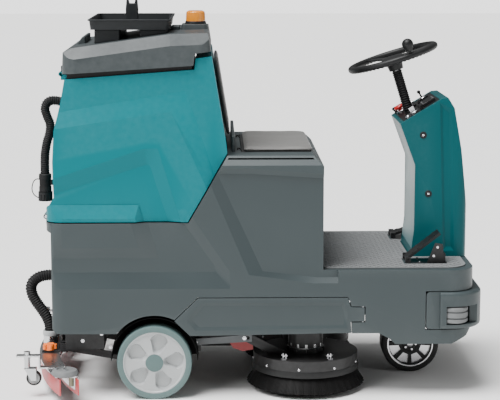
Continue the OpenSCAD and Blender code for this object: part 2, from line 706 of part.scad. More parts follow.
// ---------- scrub deck ----------

module brush_deck() color([0.1, 0.1, 0.11]) difference() {
    union() {
        for (s = [-1, 1]) translate([brush_x, s * brush_y, 0]) {
            translate([0, 0, hood_z0]) difference() {
                cylinder(r = hood_r, h = hood_top - hood_z0, $fn = 96);
                translate([0, 0, -1]) cylinder(r = hood_r - 5, h = hood_top - hood_z0 - 4, $fn = 96);
            }
            translate([0, 0, hood_top - 1]) cylinder(r = 66, h = 16);
        }
        block([brush_x - 70, -60, hood_top - 8], [brush_x + 70, 60, hood_top]);
        translate([brush_x, 0, hood_top - 1]) cylinder(r = 9, h = 153);
        both_sides() {
            // Arms to the lift linkage, with the pins of its slots
            along_y(arm_y - 12, arm_y - 6) polygon([
                [brush_x - 120, hood_top - 6], [arm_pin[0] - 10, arm_pin[1] - 12], [arm_pin[0] - 10, arm_pin[1] + 12],
                [arm_pin[0] + 12, arm_pin[1] + 12], [brush_x - 70, hood_top + 4], [brush_x - 70, hood_top - 6]]);
            translate([arm_pin[0], 0, arm_pin[1]]) bar_y(5, arm_y - 8, arm_y + 8);
        }
    }
    for (s = [-1, 1]) translate([brush_x, s * brush_y, hood_top - 20]) cylinder(r = 30, h = 60);
}

module brush_motors() color([0.12, 0.12, 0.13]) for (s = [-1, 1]) translate([brush_x, s * brush_y, hood_top + 15]) {
    cylinder(r = motor_r, h = 108);
    translate([0, 0, 107]) cylinder(r = motor_r - 14, h = 14);
    translate([0, 0, -20]) cylinder(r = 28, h = 21);
}

module brush(s) color([0.09, 0.09, 0.09]) translate([brush_x, s * brush_y, 0]) {
    translate([0, 0, brush_lift]) rotate_extrude($fn = 96) polygon([
        [brush_r - 60, 0], [brush_r, 0], [brush_r - 35, 54], [brush_r - 38, 62], [brush_r - 90, 62]]);
    translate([0, 0, brush_lift + 61]) cylinder(r = brush_r - 37, h = 18);
    translate([0, 0, brush_lift + 78]) cylinder(r = 22, h = 26.4);
}

module deck_arms() color([0.13, 0.14, 0.15]) both_sides() difference() {
    along_y(arm_y, arm_y + 7) polygon([
        arm_pivot + [-15, -12], arm_pivot + [-15, 12], arm_pivot + [40, 16], arm_pin + [20, 13], arm_pin + [20, -13],
        arm_pivot + [50, -6]]);
    translate([arm_pivot[0], 0, arm_pivot[1]]) bar_y(7 + run_gap, arm_y - 1, arm_y + 9);
    // Long hole for the deck's pin
    for (x = [-2, 6]) translate([arm_pin[0] + x, 0, arm_pin[1]]) bar_y(6.5, arm_y - 1, arm_y + 9);
    block([arm_pin[0] - 2, arm_y - 1, arm_pin[1] - 6.5], [arm_pin[0] + 6, arm_y + 9, arm_pin[1] + 6.5]);
}

module deck_actuator() color([0.3, 0.31, 0.32]) translate([brush_x, 0, 0]) difference() {
    union() {
        translate([0, 0, rail_z0 - 10]) cylinder(r = 21, h = 96);
        block([-24, -20, rail_z0 + 4], [25.7, 20, rail_z0 + 40]);
    }
    cylinder(r = 9 + run_gap, h = 500);
}

// ---------- squeegee ----------

module arc_band(r0, r1, z0, z1, half) intersection() {
    translate([arc_x, 0, z0]) difference() {
        cylinder(r = r1, h = z1 - z0, $fn = 256);
        translate([0, 0, -1]) cylinder(r = r0, h = z1 - z0 + 2, $fn = 256);
    }
    block([squeegee_x - 100, -half, z0 - 1], [squeegee_x + 260, half, z1 + 1]);
}

module squeegee_body() color([0.72, 0.73, 0.74]) difference() {
    union() {
        arc_band(squeegee_r - 34, squeegee_r + 34, plate_z, plate_z + plate_t, plate_half);
        arc_band(squeegee_r - 25, squeegee_r - 22, plate_z - 40, plate_z + 0.5, plate_half);
        arc_band(squeegee_r + 22, squeegee_r + 25, plate_z - 40, plate_z + 0.5, plate_half);
        // Port of the suction hose
        translate([squeegee_x, 0, plate_z]) cylinder(r = suction_hose_r + 5, h = 41);
        both_sides() {
            translate([guard_x, guard_y, plate_z]) cylinder(r = 5, h = 34);
            translate([squeegee_x + 8, knob_y, plate_z]) cylinder(r = 5, h = 24);
            // Caster brackets
            translate([0, caster_y, 0]) {
                block([caster_x + 40, -14, plate_z + plate_t - 0.5], [caster_x + 96, 14, plate_z + plate_t + 4]);
                block([caster_x + 40, -14, plate_z + plate_t - 0.5], [caster_x + 45, 14, plate_z + 50]);
                block([caster_x - 36, -14, plate_z + 45], [caster_x + 45, 14, plate_z + 50]);
                translate([caster_x, 0, plate_z + 36]) cylinder(r = 11, h = 26);
            }
        }
    }
    translate([squeegee_x, 0, plate_z - 1]) cylinder(r = suction_hose_r + 0.4, h = 90);
    both_sides() translate([caster_x, caster_y, plate_z + 20]) cylinder(r = 6 + run_gap, h = 38);
}

module squeegee_blades() color([0.72, 0.2, 0.22]) {
    arc_band(squeegee_r - 29.4, squeegee_r - 25.3, plate_z - 54, plate_z - 0.4, squeegee_w / 2);
    arc_band(squeegee_r + 25.3, squeegee_r + 29.4, plate_z - 56, plate_z - 0.4, squeegee_w / 2);
}

module squeegee_carrier() color([0.1, 0.1, 0.11]) difference() {
    top = plate_z + plate_t + 0.3;
    union() {
        block([squeegee_x - 18, 2 - squeegee_arm_y, top], [arm_rear[0] + 14, squeegee_arm_y - 2, top + 6]);
        both_sides() {
            block([arm_rear[0] - 14, squeegee_arm_y - 16, top + 5], [arm_rear[0] + 14, squeegee_arm_y - 8, arm_rear[1] + 24]);
            translate([arm_rear[0], 0, arm_rear[1] + 10]) bar_y(6, squeegee_arm_y - 14, squeegee_arm_y + 8);
            block([squeegee_x + 40, 30, top + 5], [squeegee_x + 45, 100, top + 52]);
        }
    }
    translate([squeegee_x, 0, top - 1]) cylinder(r = suction_hose_r + 6, h = 60);
    both_sides() translate([squeegee_x + 8, knob_y, top - 1]) cylinder(r = 5.4, h = 20);
}

module squeegee_arms() color([0.12, 0.12, 0.13]) {
    rear = [arm_rear[0], arm_rear[1] + 10];
    both_sides() difference() {
        along_y(squeegee_arm_y, squeegee_arm_y + 7) polygon([
            arm_front + [14, -12], arm_front + [14, 12], rear + [-14, 13], rear + [-14, -13]]);
        translate([arm_front[0], 0, arm_front[1]]) bar_y(6 + run_gap, squeegee_arm_y - 1, squeegee_arm_y + 9);
        translate([rear[0], 0, rear[1]]) bar_y(6 + run_gap, squeegee_arm_y - 1, squeegee_arm_y + 9);
    }
    // Tie bar between the two arms
    translate([arm_front[0] - 120, 0, arm_front[1] + 22]) bar_y(8, -squeegee_arm_y - 1, squeegee_arm_y + 1);
}

module caster_fork(s) color([0.72, 0.73, 0.74]) translate([caster_x, s * caster_y, 0]) {
    top = caster_z + caster_r + 5;
    translate([0, 0, top]) cylinder(r = 6, h = plate_z + 57 - top);
    translate([0, 0, top]) cylinder(r = 10, h = plate_z + 35.7 - top);
    block([-10, -15, top], [caster_trail + 9, 15, top + 4]);
    for (k = [-1, 1]) difference() {
        along_y(k * 13 - 1.5, k * 13 + 1.5) polygon([
            [-8, top + 1], [caster_trail + 9, top + 1], [caster_trail + 9, caster_z - 7], [caster_trail - 9, caster_z - 7]]);
    }
    translate([caster_trail, 0, caster_z]) bar_y(4, -14, 14);
}

module caster_wheel(s) color([0.12, 0.12, 0.12]) translate([caster_x + caster_trail, s * caster_y, caster_z])
    rotate([90, 0, 0]) difference() {
        cylinder(r = caster_r, h = 20, center = true);
        cylinder(r = 4 + run_gap, h = 30, center = true);
        for (k = [-1, 1]) translate([0, 0, 12 * k]) difference() {
            cylinder(r = caster_r - 7, h = 8, center = true);
            cylinder(r = 8, h = 10, center = true);
        }
    }

module guard_roller(s) color([0.55, 0.57, 0.58]) translate([guard_x, s * guard_y, plate_z + plate_t + seat_gap]) difference() {
    cylinder(r = guard_r, h = 22);
    translate([0, 0, -1]) cylinder(r = 5 + run_gap, h = 30);
    translate([0, 0, 17]) cylinder(r = 26, h = 10);
}

module star_knob(s) color([0.95, 0.42, 0.05]) translate([squeegee_x + 8, s * knob_y, plate_z + plate_t + 6.3 + seat_gap])
    difference() {
        union() {
            cylinder(r = 17, h = 22);
            for (a = [0 : 72 : 288]) rotate([0, 0, a]) translate([19, 0, 4]) cylinder(r = 7, h = 16);
        }
        translate([0, 0, -1]) cylinder(r = 5 + run_gap, h = 15);
    }

module suction_hose() color([0.06, 0.06, 0.06]) swept_tube(suction_route, suction_hose_r);

// ---------- recovery tank ----------

function tank_outline() = [
    [lip_x, seam_z + seam_gap, 1, 1], [lip_x, seam_z + 40, 1, 0], [body_rear + 12, seam_z + 85, 1, 0],
    [body_rear + 10, seam_z + 206, 1, 0], [body_rear + 16, seam_z + 309, 1, 0],
    [body_rear + 39, seam_z + 407, 1, 0], [body_rear + 52, tank_top_z, 1, -1],
    [toe_low_x + 22, tank_top_z + 32, 0, -1], [toe_low_x + 26, tank_top_z + 69, 0, -1],
    [toe_low_x + 80, tank_top_z + 76, -1, -1], [toe_top_x - 4, seat_z + 44, -1, 0],
    [toe_top_x, seat_z + 8, -1, 0.6], [toe_low_x - 0.576 * seam_gap, seam_z + seam_gap, -0.6, 1]
];

module tank_form(w) intersection() {
    along_y(w - tank_half_w, tank_half_w - w) polygon(inset(tank_outline(), w));
    plan_block(lip_x + w, toe_top_x + 60 - w, tank_half_w - w, 58, 40, seam_z, tank_top_z + 100);
    along_x(lip_x - 5, toe_top_x + 80) polygon([
        [w - tank_half_w, seam_z], [w - tank_half_w, seam_z + 50], [w - tank_half_w + 30, tank_top_z + 90],
        [tank_half_w - 30 - w, tank_top_z + 90], [tank_half_w - w, seam_z + 50], [tank_half_w - w, seam_z]
    ]);
}

module recovery_tank() color([0, 0.56, 0.59]) difference() {
    union() {
        difference() {
            tank_form(0);
            tank_form(shell_wall);
        }
        both_sides() {
            // Knuckle of the tank hinge
            translate([tank_hinge[0], 0, tank_hinge[1]]) bar_y(9, 181, 223);
            block([tank_hinge[0], 181, tank_hinge[1] + 2.4], [lip_x + 3, 223, seam_z + 30]);
            // Lugs and moulded pins of the lid hinge
            for (y = [184, 226]) {
                translate([lid_hinge[0], 0, lid_hinge[1]]) bar_y(8, y, y + 12);
                block([lid_hinge[0], y, lid_hinge[1] - 20], [lid_hinge[0] + 25, y + 12, lid_hinge[1] - 3]);
            }
            translate([lid_hinge[0], 0, lid_hinge[1]]) bar_y(lid_pin_r, 184, 238);
        }
    }
    both_sides() {
        translate([tank_hinge[0], 0, tank_hinge[1]]) bar_y(tank_pin_r + run_gap, 170, 240);
        // Clearance around the body's knuckles
        for (y = [164, 224.5]) translate([tank_hinge[0], 0, tank_hinge[1]]) bar_y(11, y, y + 15.5);
    }
    plan_block(body_rear + 84, toe_low_x - 12, 290, 40, 40, tank_top_z - 60, tank_top_z + 60);
    translate([body_rear - 5, -90, 985]) rotate([0, 90, 0]) cylinder(r = drain_hose_r + 0.5, h = 80);
}

module lid_gasket() color([0.05, 0.05, 0.05]) {
    x0 = body_rear + 60;
    x1 = toe_low_x + 14;
    base = tank_top_z - 1085;
    difference() {
        along_y(-322, 322) polygon([
            [x0, 1085.6 + base + 0.3], [x1, 1116.4 + base + 0.3], [x1, 1130.2 + base], [x0, 1102.1 + base]]);
        plan_block(x0 + 14, x1 - 14, 308, 20, 20, tank_top_z - 20, tank_top_z + 90);
    }
}

module backrest_pad() color([0.07, 0.07, 0.08]) along_y(-200, 200) polygon([
    [toe_top_x - 1.6, seat_z + 40], [toe_top_x + 12.5, seat_z + 42],
    [toe_low_x + 97, tank_top_z + 76], [toe_low_x + 82, tank_top_z + 73]
]);

module drain_hose() color([0.06, 0.06, 0.06]) {
    last = drain_route[len(drain_route) - 1];
    swept_tube(drain_route, drain_hose_r);
    translate([last[0], last[1], 672]) cylinder(r = 22, h = last[2] - 672);
    translate([last[0], last[1], 650]) cylinder(r = 18, h = 23);
    // Clip that holds the cuff to the tank's rear wall
    block([last[0] + 18, last[1] - 8, 696], [body_rear + 11.4, last[1] + 8, 714]);
}

module drain_cap() color([0.05, 0.05, 0.05]) {
    last = drain_route[len(drain_route) - 1];
    translate([last[0], last[1], 640]) difference() {
        cylinder(r = 25, h = 31.6);
        translate([0, 0, 8]) cylinder(r = 18 + run_gap, h = 40);
        for (a = [0 : 30 : 330]) rotate([0, 0, a]) translate([26, 0, -1]) cylinder(r = 3, h = 24);
    }
}

function lid_outline() = [
    [body_rear + 42, 1102 + lid_dz, 1, -30], [body_rear + 47, 1174 + lid_dz, 1, 0],
    [body_rear + 76, 1188 + lid_dz, 0.4, -1], [toe_low_x - 59, 1234 + lid_dz, 0, -1],
    [toe_low_x + 67, 1238 + lid_dz, -1, -1], [toe_low_x + 77, 1177 + lid_dz, -1.2, 1],
    [toe_low_x + 24, 1171 + lid_dz, -1.2, 1], [toe_low_x + 19, 1131 + lid_dz, -1.2, -30]
];

module tank_lid() color([0.42, 0.45, 0.46]) difference() {
    union() {
        difference() {
            intersection() {
                along_y(-344, 344) polygon(inset(lid_outline(), 0));
                plan_block(body_rear + 42, toe_low_x + 77, 344, 50, 36, tank_top_z, tank_top_z + 200);
            }
            intersection() {
                along_y(-339, 339) polygon(inset(lid_outline(), 5));
                plan_block(body_rear + 47, toe_low_x + 72, 339, 46, 32, tank_top_z - 60, tank_top_z + 200);
            }
        }
        // Plinth of the beacon and the ridge at the rear
        block([toe_low_x - 29, -60, 1224 + lid_dz], [toe_low_x + 68, 60, 1254 + lid_dz]);
        block([body_rear + 66, -120, 1176 + lid_dz], [body_rear + 108, 120, 1216 + lid_dz]);
        both_sides() {
            translate([lid_hinge[0], 0, lid_hinge[1]]) bar_y(8, 197, 225);
            block([lid_hinge[0], 197, lid_hinge[1] + 2], [body_rear + 46, 225, lid_hinge[1] + 26]);
        }
    }
    both_sides() {
        translate([lid_hinge[0], 0, lid_hinge[1]]) bar_y(lid_pin_r + run_gap, 190, 232);
        for (y = [183, 225.6]) translate([lid_hinge[0], 0, lid_hinge[1]]) bar_y(10, y, y + 13.4);
    }
}

module tool_tray() color([0.13, 0.135, 0.14]) {
    x0 = body_rear + 130;
    x1 = body_rear + 403;
    foot = function (x) 1188 + lid_dz + (x - body_rear - 76) * 46 / (toe_low_x - body_rear - 135) + 0.4;
    z = 1245 + lid_dz;
    difference() {
        union() {
            block([x0, -250, z], [x1, 250, z + 35]);
            block([x0 - 5, -255, z + 30], [x1 + 5, 255, z + 35]);
        }
        block([x0 + 4, -246, z + 4], [x1 - 4, 246, z + 40]);
    }
    for (f = [[x0 + 17, x0 + 102], [x0 + 170, x0 + 262]]) difference() {
        along_y(-236, 236) polygon([
            [f[0], foot(f[0])], [f[1], foot(f[1])], [f[1], z + 1], [f[0], z + 1]]);
        along_y(-230, 230) polygon([
            [f[0] + 6, foot(f[0]) - 10], [f[1] - 6, foot(f[1]) - 10], [f[1] - 6, z - 5], [f[0] + 6, z - 5]]);
    }
    // Fork that holds a mop or a bucket handle
    difference() {
        block([x0 + 110, -24, z + 3], [x0 + 157, 24, z + 96]);
        block([x0 + 122, -30, z + 78], [x0 + 145, 30, z + 120]);
    }
}

module beacon_lens() color([1, 0.6, 0.05, 0.8]) translate([toe_low_x + 23, 0, 1254.3 + lid_dz]) {
    cylinder(r = 37, h = 8);
    translate([0, 0, 8]) cylinder(r1 = 34, r2 = 32, h = 30);
    translate([0, 0, 38]) cylinder(r1 = 32, r2 = 24, h = 8);
}

// ---------- seat ----------

module seat_plate() color([0.12, 0.12, 0.13]) difference() {
    union() {
        block([toe_top_x + 50, -253, seat_z - 10.6], [toe_top_x + 284, 253, seat_z + 0.4]);
        both_sides() {
            translate([seat_hinge[0], 0, seat_hinge[1]]) bar_y(6, 175.5, 194.5);
            block([seat_hinge[0], 175.5, seat_hinge[1] - 4], [toe_top_x + 52, 194.5, seat_hinge[1] - 0.6]);
        }
    }
    both_sides() translate([seat_hinge[0], 0, seat_hinge[1]]) bar_y(seat_pin_r + run_gap, 170, 200);
    // Hollow underside
    block([toe_top_x + 58, -220, seat_z - 12], [toe_top_x + 270, 220, seat_z - 5]);
}

module seat_cushion() color([0.55, 0.54, 0.53]) plan_block(toe_top_x + 50, toe_top_x + 302, 250, 10, 26,
    seat_z + 0.4, seat_z + 14);

// ---------- what is drawn ----------

chassis_frame();
lower_body();
front_bumper();
hinge_pins();
foot_mat();
battery_pack();
solution_tank();
vacuum_motor();
column_cover();
column_rear_panel();
dash_panel();
cover_screws();
steering_bellows();
steering_gearbox();
pedal_brackets();
deck_actuator();
suction_hose();
recovery_tank();
lid_gasket();
backrest_pad();
drain_hose();
drain_cap();
tank_lid();
tool_tray();
beacon_lens();
seat_plate();
seat_cushion();
steering_shaft();
steering_wheel();
spinner_knob();
key_switch();
emergency_stop();
direction_lever();
accelerator_pedal();
brake_pedal();
drive_fork();
front_wheel();
rear_wheel(-1);  // rear_wheel_right
rear_wheel(1);  // rear_wheel_left
brush_deck();
brush_motors();
brush(-1);  // brush_right
brush(1);  // brush_left
deck_arms();
squeegee_arms();
squeegee_carrier();
squeegee_body();
squeegee_blades();
caster_fork(-1);  // caster_fork_right
caster_fork(1);  // caster_fork_left
caster_wheel(-1);  // caster_wheel_right
caster_wheel(1);  // caster_wheel_left
guard_roller(-1);  // guard_roller_right
guard_roller(1);  // guard_roller_left
star_knob(-1);  // star_knob_right
star_knob(1);  // star_knob_left
bumper_roller(-1);  // bumper_roller_right
bumper_roller(1);  // bumper_roller_left
side_door(-1);  // side_door_right
side_door(1);  // side_door_left
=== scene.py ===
# %% [markdown]
# # Ride-on floor scrubber
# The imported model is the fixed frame: every finished piece is made at its real place, in metres,
# with +X forwards, +Y to the machine's left and +Z up. The main places come from the frame's own boxes.

# %% The frame
import bpy
import bmesh
import json
from math import radians, sin, cos, atan2, hypot, tau
from mathutils import Vector, Matrix


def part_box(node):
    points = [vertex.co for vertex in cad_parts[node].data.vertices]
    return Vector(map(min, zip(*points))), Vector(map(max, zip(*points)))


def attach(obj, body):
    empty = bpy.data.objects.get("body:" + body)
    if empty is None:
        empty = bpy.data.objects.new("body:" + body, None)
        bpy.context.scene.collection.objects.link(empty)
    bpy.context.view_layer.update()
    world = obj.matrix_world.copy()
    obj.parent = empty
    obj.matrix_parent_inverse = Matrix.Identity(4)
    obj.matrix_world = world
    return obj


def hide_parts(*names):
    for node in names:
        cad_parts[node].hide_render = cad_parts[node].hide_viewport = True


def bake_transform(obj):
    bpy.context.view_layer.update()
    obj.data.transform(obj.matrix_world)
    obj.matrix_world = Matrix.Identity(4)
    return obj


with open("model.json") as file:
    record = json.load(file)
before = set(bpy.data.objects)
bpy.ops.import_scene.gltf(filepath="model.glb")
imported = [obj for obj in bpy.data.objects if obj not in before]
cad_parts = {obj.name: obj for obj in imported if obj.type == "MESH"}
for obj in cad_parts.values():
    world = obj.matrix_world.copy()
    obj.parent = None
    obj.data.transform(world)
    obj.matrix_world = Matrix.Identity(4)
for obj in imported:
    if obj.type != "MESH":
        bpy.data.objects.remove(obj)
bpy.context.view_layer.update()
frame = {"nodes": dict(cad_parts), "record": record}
nodes = frame["nodes"]
MM = 0.001

# %% [markdown]
# The camera stands about as high as the lid and looks a little down. It is made first.
# The lens is long, because the machine's level edges hardly run together.

# %% Camera
camera_data = bpy.data.cameras.new("camera")
camera_data.sensor_width = 36.0
camera_data.lens = 116.1
camera = bpy.data.objects.new("camera", camera_data)
camera.location = (-0.114, -5.7, 1.534)
camera.rotation_euler = (radians(80.94), 0.0, radians(-1.24))
bpy.context.scene.collection.objects.link(camera)
bpy.context.scene.camera = camera
print("lens", camera_data.lens)

# %% [markdown]
# A plain pale floor under an even white sky, with one broad sun and three large soft lamps. A big lamp
# gives its highlight a soft edge, which is what shows the rounding of moulded plastic. The sky is
# brighter to the camera than to the machine, so that the backdrop is pale and the paint stays deep.

# %% Floor and lights
def give(node, values):
    """Sets a node's inputs by name."""
    for name, value in values.items():
        node.inputs[name].default_value = value


FLOOR_HALF = 30
floor_corners = [(x * FLOOR_HALF, y * FLOOR_HALF, 0) for x, y in ((-1, -1), (1, -1), (1, 1), (-1, 1))]
floor_mesh = bpy.data.meshes.new("floor")
floor_mesh.from_pydata(floor_corners, [], [(0, 1, 2, 3)])
floor = bpy.data.objects.new("floor", floor_mesh)
bpy.context.scene.collection.objects.link(floor)
floor_paint = bpy.data.materials.new("floor_paint")
floor_paint.use_nodes = True
floor_shader = floor_paint.node_tree.nodes["Principled BSDF"]
give(floor_shader, {"Base Color": (0.93, 0.93, 0.92, 1), "Roughness": 0.75})
floor_mesh.materials.append(floor_paint)

world = bpy.data.worlds.new("studio")
bpy.context.scene.world = world
world.use_nodes = True
sky, sky_link = world.node_tree.nodes, world.node_tree.links
ray, mixed = sky.new("ShaderNodeLightPath"), sky.new("ShaderNodeMixShader")
seen = sky.new("ShaderNodeBackground")
sky["Background"].inputs["Color"].default_value = seen.inputs["Color"].default_value = (1.0, 1.0, 1.0, 1)
sky["Background"].inputs["Strength"].default_value = 0.24
seen.inputs["Strength"].default_value = 2.2
sky_link.new(ray.outputs["Is Camera Ray"], mixed.inputs[0])
sky_link.new(sky["Background"].outputs[0], mixed.inputs[1])
sky_link.new(seen.outputs[0], mixed.inputs[2])
sky_link.new(mixed.outputs[0], sky["World Output"].inputs[0])
sun = bpy.data.lights.new("sky_panel", "SUN")
sun.energy, sun.angle = 6.8, radians(36)
sun_lamp = bpy.data.objects.new("sky_panel", sun)
sun_lamp.rotation_euler = (Vector((0, 0, 0)) - Vector((-1.5, -1.15, 4.2))).to_track_quat("-Z", "Y").to_euler()
bpy.context.scene.collection.objects.link(sun_lamp)


def soft_lamp(name, place, target, size, power):
    data = bpy.data.lights.new(name, "AREA")
    data.size = size
    data.energy = power
    lamp = bpy.data.objects.new(name, data)
    lamp.location = place
    lamp.rotation_euler = (Vector(target) - Vector(place)).to_track_quat("-Z", "Y").to_euler()
    bpy.context.scene.collection.objects.link(lamp)


soft_lamp("key_lamp", (-2.6, -3.2, 2.8), (0, 0, 0.6), 1.6, 60)
soft_lamp("top_lamp", (0.6, 0.4, 4.2), (0, 0, 0.4), 2.0, 20)
soft_lamp("fill_lamp", (3.6, -2.4, 1.8), (0.2, 0, 0.5), 1.6, 16)
print("lamps", len(bpy.data.lights))

# %% [markdown]
# Small tools for solids. An outline is a list of points in millimetres, extruded across the machine,
# along it or upwards. Solids are cut or trimmed with the exact boolean, put together in one mesh, rounded
# with a bevel on their sharp edges, and shaded smooth up to an angle.

# %% Solid tools
def new_piece(name, mesh):
    piece = bpy.data.objects.new(name, mesh)
    bpy.context.scene.collection.objects.link(piece)
    return piece


def from_bmesh(name, bm):
    bmesh.ops.recalc_face_normals(bm, faces=bm.faces)
    mesh = bpy.data.meshes.new(name)
    bm.to_mesh(mesh)
    bm.free()
    return new_piece(name, mesh)


def discard(piece):
    mesh = piece.data
    bpy.data.objects.remove(piece)
    bpy.data.meshes.remove(mesh)


CREASE_REACH = 0.9
WELD, SLIVER, ON_AXIS = 2e-6, 1e-7, 1e-6
SIDES = ((-1, "right"), (1, "left"))
AXES = {"x": lambda a, b, t: (t, a, b), "y": lambda a, b, t: (a, t, b), "z": lambda a, b, t: (a, b, t)}


def prism(outline, low, high, axis="y", high_outline=None):
    """A closed solid between two copies of an outline, all in millimetres."""
    place = AXES[axis]
    top = high_outline or outline
    bm = bmesh.new()
    first = [bm.verts.new(Vector(place(a, b, low)) * MM) for a, b in outline]
    last = [bm.verts.new(Vector(place(a, b, high)) * MM) for a, b in top]
    count = len(first)
    bm.faces.new(first)
    bm.faces.new(list(reversed(last)))
    for i in range(count):
        j = (i + 1) % count
        bm.faces.new((first[i], last[i], last[j], first[j]))
    return from_bmesh("prism", bm)


def box(low, high):
    return prism([(low[0], low[1]), (high[0], low[1]), (high[0], high[1]), (low[0], high[1])],
                 low[2], high[2], "z")


def arc(cx, cy, r, start, end, steps=10):
    """Points on an arc, angles in degrees, both ends included."""
    return [(cx + r * cos(radians(start + (end - start) * i / steps)),
             cy + r * sin(radians(start + (end - start) * i / steps))) for i in range(steps + 1)]


def round_rect(x0, x1, y0, y1, radii, steps=10):
    """A rectangle with four corner radii, from the low corner anticlockwise."""
    a, b, c, d = radii if hasattr(radii, "__len__") else (radii,) * 4
    return (arc(x0 + a, y0 + a, a, 180, 270, steps) + arc(x1 - b, y0 + b, b, 270, 360, steps)
            + arc(x1 - c, y1 - c, c, 0, 90, steps) + arc(x0 + d, y1 - d, d, 90, 180, steps))


def disc(place, r, low, high, axis="z", count=48, r_high=None):
    """A round bar, or a cone with r_high, with its ends at low and high along the axis."""
    a, b = place
    ring = [(a + r * cos(tau * i / count), b + r * sin(tau * i / count)) for i in range(count)]
    end = r if r_high is None else r_high
    far = [(a + end * cos(tau * i / count), b + end * sin(tau * i / count)) for i in range(count)]
    return prism(ring, low, high, axis, far)


def finished(piece):
    """The piece with its modifiers taken into its mesh."""
    bpy.context.view_layer.update()
    evaluated = piece.evaluated_get(bpy.context.evaluated_depsgraph_get())
    mesh = bpy.data.meshes.new_from_object(evaluated)
    piece.modifiers.clear()
    old = piece.data
    piece.data = mesh
    bpy.data.meshes.remove(old)
    return piece


def boolean(piece, other, operation):
    step = piece.modifiers.new("cut", "BOOLEAN")
    step.operation = operation
    step.solver = "EXACT"
    step.object = other
    finished(piece)
    discard(other)
    return piece


def cut(piece, *tools):
    for tool in tools:
        boolean(piece, tool, "DIFFERENCE")
    return piece


def joined(piece, *others):
    """Solids in one mesh, each keeping its own faces."""
    bm = bmesh.new()
    bm.from_mesh(piece.data)
    for other in others:
        bm.from_mesh(other.data)
        discard(other)
    bm.to_mesh(piece.data)
    bm.free()
    return piece


def merged(pieces):
    first, *others = pieces
    return joined(first, *others)


def mirrored(piece):
    """A copy on the machine's other side, turned right side out."""
    bm = bmesh.new()
    bm.from_mesh(piece.data)
    bmesh.ops.transform(bm, matrix=Matrix.Diagonal((1, -1, 1, 1)), verts=bm.verts)
    bmesh.ops.reverse_faces(bm, faces=bm.faces)
    mesh = bpy.data.meshes.new(piece.name)
    bm.to_mesh(mesh)
    bm.free()
    return new_piece(piece.name, mesh)


def faced_out(piece):
    """The piece with every face turned outwards."""
    bm = bmesh.new()
    bm.from_mesh(piece.data)
    bmesh.ops.recalc_face_normals(bm, faces=bm.faces)
    bm.to_mesh(piece.data)
    bm.free()
    return piece


def both(make):
    """The same solid on both sides, as one mesh."""
    first = make()
    return joined(first, mirrored(first))


def rounded(piece, width, segments=3, angle=30):
    step = piece.modifiers.new("round", "BEVEL")
    step.width = width * MM
    step.segments = segments
    step.limit_method = "ANGLE"
    step.angle_limit = radians(angle)
    step.use_clamp_overlap = True
    return finished(piece)


def mark_creases(piece, outlines):
    """Edges that lie on a facet's outline stay sharp, so that its slope reads."""
    lines = [(Vector(o[i]), Vector(o[(i + 1) % len(o)])) for o in outlines for i in range(len(o))]
    mesh = piece.data
    for edge in mesh.edges:
        a, b = (mesh.vertices[i].co for i in edge.vertices)
        middle = Vector((a.x + b.x, a.z + b.z)) / (2 * MM)
        for p, q in lines:
            span = q - p
            t = max(0, min(1, (middle - p).dot(span) / span.length_squared))
            if (middle - (p + span * t)).length < CREASE_REACH:
                edge.use_edge_sharp = True
                break


def smooth(piece, angle=32, creases=()):
    """Shades smooth up to an angle; creases are outlines (x, z) whose edges stay sharp."""
    mesh = piece.data
    mesh.polygons.foreach_set("use_smooth", [True] * len(mesh.polygons))
    mesh.set_sharp_from_angle(angle=radians(angle))
    if creases:
        mark_creases(piece, creases)
    step = piece.modifiers.new("weighted", "WEIGHTED_NORMAL")
    step.keep_sharp = True
    return finished(piece)


def moved(piece, matrix):
    piece.data.transform(matrix)
    return piece


def mended(piece):
    """Closes pinholes that a cut can leave, and turns the faces of such a piece outwards again."""
    bm = bmesh.new()
    bm.from_mesh(piece.data)
    bmesh.ops.remove_doubles(bm, verts=bm.verts, dist=WELD)
    bmesh.ops.dissolve_degenerate(bm, edges=bm.edges, dist=SLIVER)
    gaps = [e for e in bm.edges if e.is_boundary]
    turned_wrong = [e for e in bm.edges if e.is_manifold and not e.is_contiguous]
    if gaps or turned_wrong:
        bmesh.ops.holes_fill(bm, edges=gaps, sides=0)
        bmesh.ops.recalc_face_normals(bm, faces=bm.faces)
        if not any(e.is_boundary for e in bm.edges):
            print("mended", len(gaps), "open edges and", len(turned_wrong), "turned")
            bm.to_mesh(piece.data)
    bm.free()


def dress(piece, name, material, body, slot, *stands_for):
    """Names a finished piece, gives it its finish and hangs it on its body."""
    mended(piece)
    piece.name = name
    piece.data.name = name
    piece.data.materials.clear()
    piece.data.materials.append(material)
    if body:
        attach(piece, body)
    if stands_for:
        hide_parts(*stands_for)
    print(name, len(piece.data.polygons), "faces")
    return piece


# %% [markdown]
# ## Finishes
# Three effects are shared: a fine moulded grain, wear along edges, and dust that settles low.
# Each is a shader group that puts out a mask or a height, and each material places it with its own values.

# %% Shared effects
def wire(tree, *routes):
    """Links sockets; a route is (node, output, node, input)."""
    for start, out, end, into in routes:
        tree.links.new(start.outputs[out], end.inputs[into])


def socket(group, name, kind, default=None, is_output=False):
    made = group.interface.new_socket(name=name, in_out="OUTPUT" if is_output else "INPUT",
                                      socket_type="NodeSocket" + kind)
    if default is not None:
        made.default_value = default
    return made


